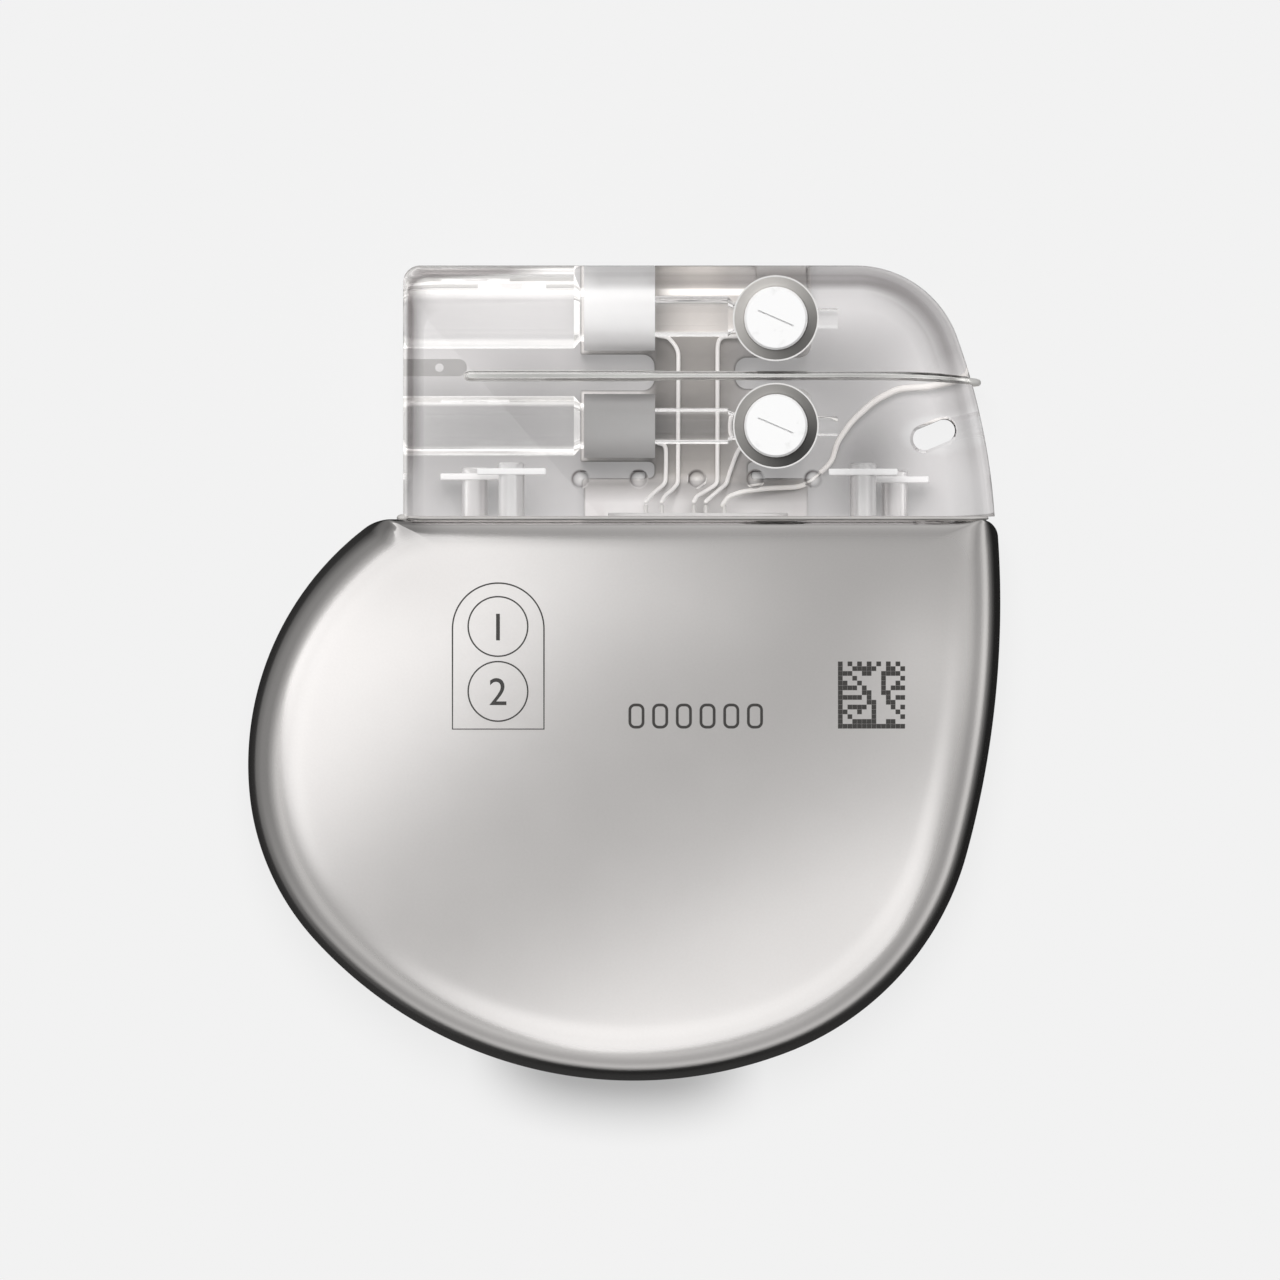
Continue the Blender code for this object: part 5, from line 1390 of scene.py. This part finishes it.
# %% Finishes for the pieces that stay
# Metals: tint, roughness and nodes. Dull pieces: light and dark colour, roughness and nodes.
METAL_INSIDE = {
    "battery_steel_look": ((0.62, 0.62, 0.63), 0.30, ["battery"]),
    "nickel_look": ((0.72, 0.69, 0.63), 0.28,
                    ["battery_terminal_tab", "battery_ground_tab", "crystal", "accelerometer"]),
    "terminal_look": ((0.84, 0.82, 0.78), 0.22, ["battery_terminal"]),
    "coil_look": ((0.80, 0.42, 0.25), 0.28, ["telemetry_coil"])}
DULL_INSIDE = {
    "alumina_look": ((0.90, 0.89, 0.86), (0.82, 0.80, 0.77), 0.38, ["feedthrough_insulator"]),
    "filter_look": ((0.36, 0.25, 0.17), (0.28, 0.19, 0.13), 0.45, ["filter_capacitor"]),
    "seal_glass_look": ((0.10, 0.17, 0.23), (0.07, 0.12, 0.17), 0.12, ["battery_glass_seal"]),
    "board_look": ((0.74, 0.71, 0.64), (0.66, 0.63, 0.57), 0.45, ["circuit_board"]),
    "flex_look": ((0.45, 0.22, 0.05), (0.36, 0.17, 0.04), 0.30, ["flex_circuit"]),
    "chip_look": ((0.055, 0.055, 0.06), (0.035, 0.035, 0.04), 0.48,
                  ["processor_chip", "memory_chip", "sensing_chip", "magnet_sensor"]),
    "tantalum_look": ((0.62, 0.42, 0.14), (0.54, 0.36, 0.12), 0.40,
                      ["tantalum_capacitor_1", "tantalum_capacitor_2", "output_capacitor_1",
                       "output_capacitor_2"]),
    "desiccant_look": ((0.80, 0.79, 0.75), (0.68, 0.67, 0.63), 0.85, ["desiccant_block"]),
    "insulator_look": ((0.72, 0.66, 0.50), (0.64, 0.58, 0.44), 0.38, ["front_insulator", "rear_insulator"])}
refinished = 0
for finish_of, table in ((bright_metal, METAL_INSIDE), (dull_finish, DULL_INSIDE)):
    for name, (*look, nodes) in table.items():
        material = finish_of(name, *look)
        for node in nodes:
            coat(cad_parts[node], material)
            refinished += 1
print("frame pieces refinished:", refinished)

# %% [markdown]
# ## Marks on the face
#
# The real can has fine laser marks. Here they stay generic: an arch with two numbered circles, which
# shows which bore is which, a row of zeros, and a square of plain dots from a formula. They are thin
# strips and plates that lie on the metal, a few thousandths of a millimetre high.

# %% Laser marks
PX = 0.05925
LINE = 1.5 * PX
MARK_HIGH = 0.008
CIRCLE_R = 29.8 * PX
CIRCLE_X, CIRCLE_Y = 498, (626.4, 691.3)
FIGURES = (("1", 627.0), ("2", 691.5))
FIGURE_TALL = 1.62
ZEROS = 6
ZERO_LEFT, ZERO_TOP, ZERO_APART = 628.5, 703.5, 23.7
ZERO_WIDE, ZERO_TALL = 16.0, 25.0
ZERO_LINE = 2.8 * PX
DOT = 4.8 * PX
DOTS = 14


def mark_finish():
    finish = Finish("laser_mark", Metallic=0.2)
    cloud = finish.noise(0.12)
    return finish.set(Base_Color=finish.blend(cloud, (0.035, 0.033, 0.031), (0.055, 0.052, 0.050)),
                      Roughness=0.55 + cloud * 0.1, Normal=finish.bump(cloud, 0.002))


mark_look = mark_finish()


def at(px, py):
    """A point of the 1280 pixel picture on the can's face, in mm."""
    return (px - 624.5) * PX, (673 - py) * PX


def strip(name, outline, width):
    """A flat band along a closed outline: the outline moved out and in by half the width, low and high."""
    ahead = unit(np.roll(outline, -1, 0) - np.roll(outline, 1, 0))
    square = np.stack([ahead[:, 1], -ahead[:, 0]], 1) * width / 2
    rows = [at_height(outline + side * square, FRONT_Z + up) for side, up in (
        (-1, 0.0), (-1, MARK_HIGH), (1, MARK_HIGH), (1, 0.0))]
    return surface(name, rows, mark_look, ring=True)


def figure(text, centre, tall):
    """Plain figures as a thin solid, centred on a point of the face, with capitals tall mm high."""
    data = bpy.data.curves.new("figure", "FONT")
    data.body = text
    data.align_x = "CENTER"
    data.size = tall * MM / 0.70
    data.extrude = MARK_HIGH / 2 * MM
    data.resolution_u = 6
    thing = bpy.data.objects.new("figure", data)
    bpy.context.scene.collection.objects.link(thing)
    bpy.context.view_layer.update()
    mesh = bpy.data.meshes.new_from_object(thing.evaluated_get(bpy.context.evaluated_depsgraph_get()))
    bpy.data.objects.remove(thing)
    co = np.zeros(len(mesh.vertices) * 3, np.float32)
    mesh.vertices.foreach_get("co", co)
    co = co.reshape(-1, 3)
    co += np.array([*centre, FRONT_Z + MARK_HIGH / 2]) * MM - (co.min(0) + co.max(0)) / 2
    mesh.vertices.foreach_set("co", co.ravel())
    mesh.update()
    return piece("figure", mesh, mark_look)


def dot_square(corner, cell, count):
    """Flat square plates on a grid: the left column and the bottom row are full, the top row and the
    right column take every second place, and inside, a plate stands where column squared plus three times
    row, plus their product, has a remainder below 5 when divided by 11."""
    column, row = np.meshgrid(np.arange(count), np.arange(count))
    inside = (column ** 2 + 3 * row + column * row) % 11 < 5
    chosen = np.where((column == 0) | (row == 0), True, inside)
    chosen = np.where((row == count - 1) & (column > 0), column % 2 == 0, chosen)
    chosen = np.where((column == count - 1) & (row > 0), row % 2 == 0, chosen)
    places = np.stack([column[chosen], row[chosen]], 1) * cell + corner
    square = np.array([(0, 0), (1, 0), (1, 1), (0, 1)]) * cell * 0.97
    plates = places[:, None] + square
    low = np.concatenate([plates, np.full(plates.shape[:2] + (1,), FRONT_Z)], -1)
    points = np.concatenate([low, low + (0, 0, MARK_HIGH)], 1)
    shape = np.array([(0, 3, 2, 1), (4, 5, 6, 7), (0, 1, 5, 4), (1, 2, 6, 5), (2, 3, 7, 6), (3, 0, 4, 7)])
    faces = np.arange(len(points))[:, None, None] * 8 + shape
    return mesh_piece("dot_square", points.reshape(-1, 3), faces.reshape(-1, 4).tolist(), mark_look)


arch_left, arch_top = at(452.5, 583)
arch_right, arch_bottom = at(544, 729)
arch_r = (arch_right - arch_left) / 2
arch_line = np.vstack([arc((arch_left + arch_r, arch_top - arch_r), arch_r, 0, 180, 49),
                       [(arch_left, arch_bottom), (arch_right, arch_bottom)]])
marks = [strip("arch", arch_line, LINE)]
for py in CIRCLE_Y:
    marks.append(strip("circle", arc(at(CIRCLE_X, py), CIRCLE_R, 0, 360, 72, False), LINE))
for number in range(ZEROS):
    left, top = at(ZERO_LEFT + ZERO_APART * number, ZERO_TOP)
    right, bottom = left + ZERO_WIDE * PX, top - ZERO_TALL * PX
    half = ZERO_LINE / 2
    zero = rounded_box(left + half, bottom + half, right - half, top - half, 0.30, 6)
    marks.append(strip("zero", zero, ZERO_LINE))
marks.append(dot_square(at(838, 728.5), DOT, DOTS))
for text, py in FIGURES:
    marks.append(figure(text, at(CIRCLE_X, py), FIGURE_TALL))
for number, mark in enumerate(marks, 1):
    mark.name = "mark_" + str(number)
    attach(mark, "pacemaker")
print("marks:", len(marks))

# %% [markdown]
# ## Floor and light
#
# The picture has an even pale ground with one soft shadow below the can. A distant soft light from above
# the header gives the shadow. The metal is lit as in a product studio: large soft lights near the upper
# left and the lower right, with a darker gap between them, lie in its satin face as a slope of grey. The
# floor doesn't mirror in the metal, so the rim stays dark, as it does over a black table edge.

# %% Floor
GROUND_LEVEL = 0.887
GROUND_ALBEDO = 0.53
LIGHT_ON_GROUND = 1.02
FAINT_SHADOW = 0.15
GROUND_HALF = 3000
GROUND_Z = -0.02


def pale_ground():
    """Even under the light. The ground takes a full shadow under the header and just below the can, and
    elsewhere almost none: there it shines a little by itself instead of reflecting. The suture hole shows
    it unshaded."""
    finish = Finish("pale_ground", Roughness=0.9, Specular_IOR_Level=0.0, Emission_Strength=1.0)
    x, y, _ = finish.place_mm()
    beside = (x + 0.5) * (x + 0.5) / 57.8
    below = (beside * beside).fading() * (1.0 - y.rise(0.0, 6.0))
    under = x.rise(-12.9) * x.fall(20.0) * y.rise(8.6) * y.fall(23.8)
    off_x, off_y = x - SUTURE_AT[0], y - SUTURE_AT[1]
    under = under * (off_x * off_x / 3.0 + off_y * off_y).rise(0.6)
    shaded = below.at_least(under).at_least(FAINT_SHADOW)
    glow = (GROUND_LEVEL - GROUND_ALBEDO * LIGHT_ON_GROUND,) * 3
    return finish.set(Base_Color=finish.blend(shaded, BLACK, (GROUND_ALBEDO,) * 3),
                      Emission_Color=finish.blend(shaded, (GROUND_LEVEL,) * 3, glow))


ground_rows = [[(x, y, GROUND_Z) for x in (-GROUND_HALF, GROUND_HALF)] for y in (-GROUND_HALF, GROUND_HALF)]
ground = surface("ground", ground_rows, pale_ground(), closed=False)
ground.visible_glossy = False
print("ground half width in mm:", GROUND_HALF)

# %% World
# What satin metal sees in the four directions of the picture: height of the line of sight (its sine), and
# brightness.
SEEN_BY_METAL = {
    "left": [(-0.85, 0.03), (-0.57, 0.05), (-0.45, 0.22), (-0.15, 0.32), (0.15, 0.33), (0.32, 0.48),
             (0.47, 0.74), (0.58, 0.98), (0.75, 0.50), (0.90, 0.48), (1.00, 0.56)],
    "right": [(-0.60, 0.02), (-0.45, 0.08), (-0.28, 0.26), (-0.12, 0.82), (-0.02, 0.84), (0.19, 0.49),
              (0.36, 0.44), (0.54, 0.60), (0.70, 0.72), (0.88, 0.62), (1.00, 0.56)],
    "near": [(-0.64, 0.045), (-0.40, 0.02), (-0.32, 0.06), (-0.20, 0.50), (-0.10, 0.76), (0.10, 0.57),
             (0.24, 0.62), (0.44, 0.85), (0.58, 0.42), (0.80, 0.37), (1.00, 0.56)],
    "far": [(-0.40, 0.05), (0.00, 0.38), (0.30, 0.42), (0.47, 0.66), (0.61, 0.58), (0.84, 0.47), (0.94, 0.52),
            (1.00, 0.56)]}
SEEN_THROUGH_CLEAR = [(-1.00, 0.95), (0.00, 2.60), (0.30, 2.20), (0.55, 1.20), (1.00, 0.95)]
BRIGHTEST = 2.0
BRIGHTEST_CLEAR = 4.0
MATT_LIGHT = 0.17
GROUND_LIGHT = 0.88
WORLD_COLOUR = (1.0, 0.995, 0.985)


def studio_world():
    """What rays that leave the object meet. Metal sees a studio that differs in its four directions, and
    a point between two of them gets their mean, weighed by the squares of its sideways parts. Clear
    polymer sees a white surround that is brightest at the horizon, matt things get a weak even light, and
    the camera sees the colour of the ground beyond its edge."""
    world = bpy.data.worlds.new("studio")
    world.use_nodes = True
    wiring = Wiring(world.node_tree)
    right, away, up = wiring.parts(wiring.node("ShaderNodeTexCoord").outputs["Generated"])
    rays = wiring.node("ShaderNodeLightPath").outputs
    matt = Level(wiring.tree, rays["Diffuse Depth"]).clipped()
    through = Level(wiring.tree, rays["Is Transmission Ray"]) * (1.0 - matt)
    camera_ray = Level(wiring.tree, rays["Is Camera Ray"])
    sideways = (right * right + away * away).at_least(1e-6)
    weights = {"left": right.math("MINIMUM", 0.0), "right": right.at_least(0.0),
               "near": away.math("MINIMUM", 0.0), "far": away.at_least(0.0)}
    metal = 0.0
    for side, stops in SEEN_BY_METAL.items():
        seen = wiring.ramp(up, -1.0, 1.0, stops, BRIGHTEST)
        metal = seen * weights[side] * weights[side] / sideways + metal
    clear = wiring.ramp(up, -1.0, 1.0, SEEN_THROUGH_CLEAR, BRIGHTEST_CLEAR)
    plain = 1.0 - (matt + through + camera_ray)
    light = metal * plain + matt * MATT_LIGHT + through * clear + camera_ray * GROUND_LIGHT
    background = world.node_tree.nodes["Background"]
    wiring.feed(background, "Color", WORLD_COLOUR)
    wiring.feed(background, "Strength", light)
    world.cycles.sampling_method = "NONE"
    bpy.context.scene.world = world


studio_world()
print("directions in the studio:", list(SEEN_BY_METAL))

# %% Lights
PANEL_WIDE = 40.0
# Heading in degrees, near edge, middle, length, height above the face, and brightness.
PANELS = {"panel_upper_left": (131.2, 4.1, 14.4, 38.9, 22.0, 0.85),
          "panel_lower_right": (-63.3, 16.2, -6.5, 63.0, 25.0, 0.83)}
KEY_ENERGY = 2.88
KEY_ANGLE = 35
KEY_FROM = (-0.03, 0.38, 1.0)


def soft_panel(name, heading, edge, middle, length, height, brightness):
    """A large soft light that lies level above the face, in mm. Seen from above it lies to the side that
    heading points to, from edge to edge + PANEL_WIDE; middle and length are taken across that. Only metal
    and gloss see it. Its power is four times its area times its brightness."""
    data = bpy.data.lights.new(name, "AREA")
    data.shape = "RECTANGLE"
    data.size, data.size_y = PANEL_WIDE * MM, length * MM
    data.energy = 4 * data.size * data.size_y * brightness
    data.use_nodes = True
    wiring = Wiring(data.node_tree)
    matt = wiring.level("ShaderNodeLightPath", "Diffuse Depth").clipped()
    wiring.feed(data.node_tree.nodes["Emission"], "Strength", 1.0 - matt)
    panel = bpy.data.objects.new(name, data)
    turn = math.radians(heading)
    out = edge + PANEL_WIDE / 2
    panel.location = Vector((out * math.cos(turn) - middle * math.sin(turn),
                             out * math.sin(turn) + middle * math.cos(turn), FRONT_Z + height)) * MM
    panel.rotation_euler = (0.0, 0.0, turn)
    panel.visible_camera = False
    panel.visible_diffuse = False
    panel.visible_transmission = False
    bpy.context.scene.collection.objects.link(panel)


sun = bpy.data.lights.new("key_from_above", "SUN")
sun.energy = KEY_ENERGY
sun.angle = math.radians(KEY_ANGLE)
key = bpy.data.objects.new("key_from_above", sun)
key.rotation_mode = "QUATERNION"
key.rotation_quaternion = Vector(KEY_FROM).to_track_quat("Z", "Y")
key.visible_glossy = False
key.visible_transmission = False
scene = bpy.context.scene
scene.collection.objects.link(key)
for panel_name, place in PANELS.items():
    soft_panel(panel_name, *place)
scene.view_settings.view_transform = "Standard"
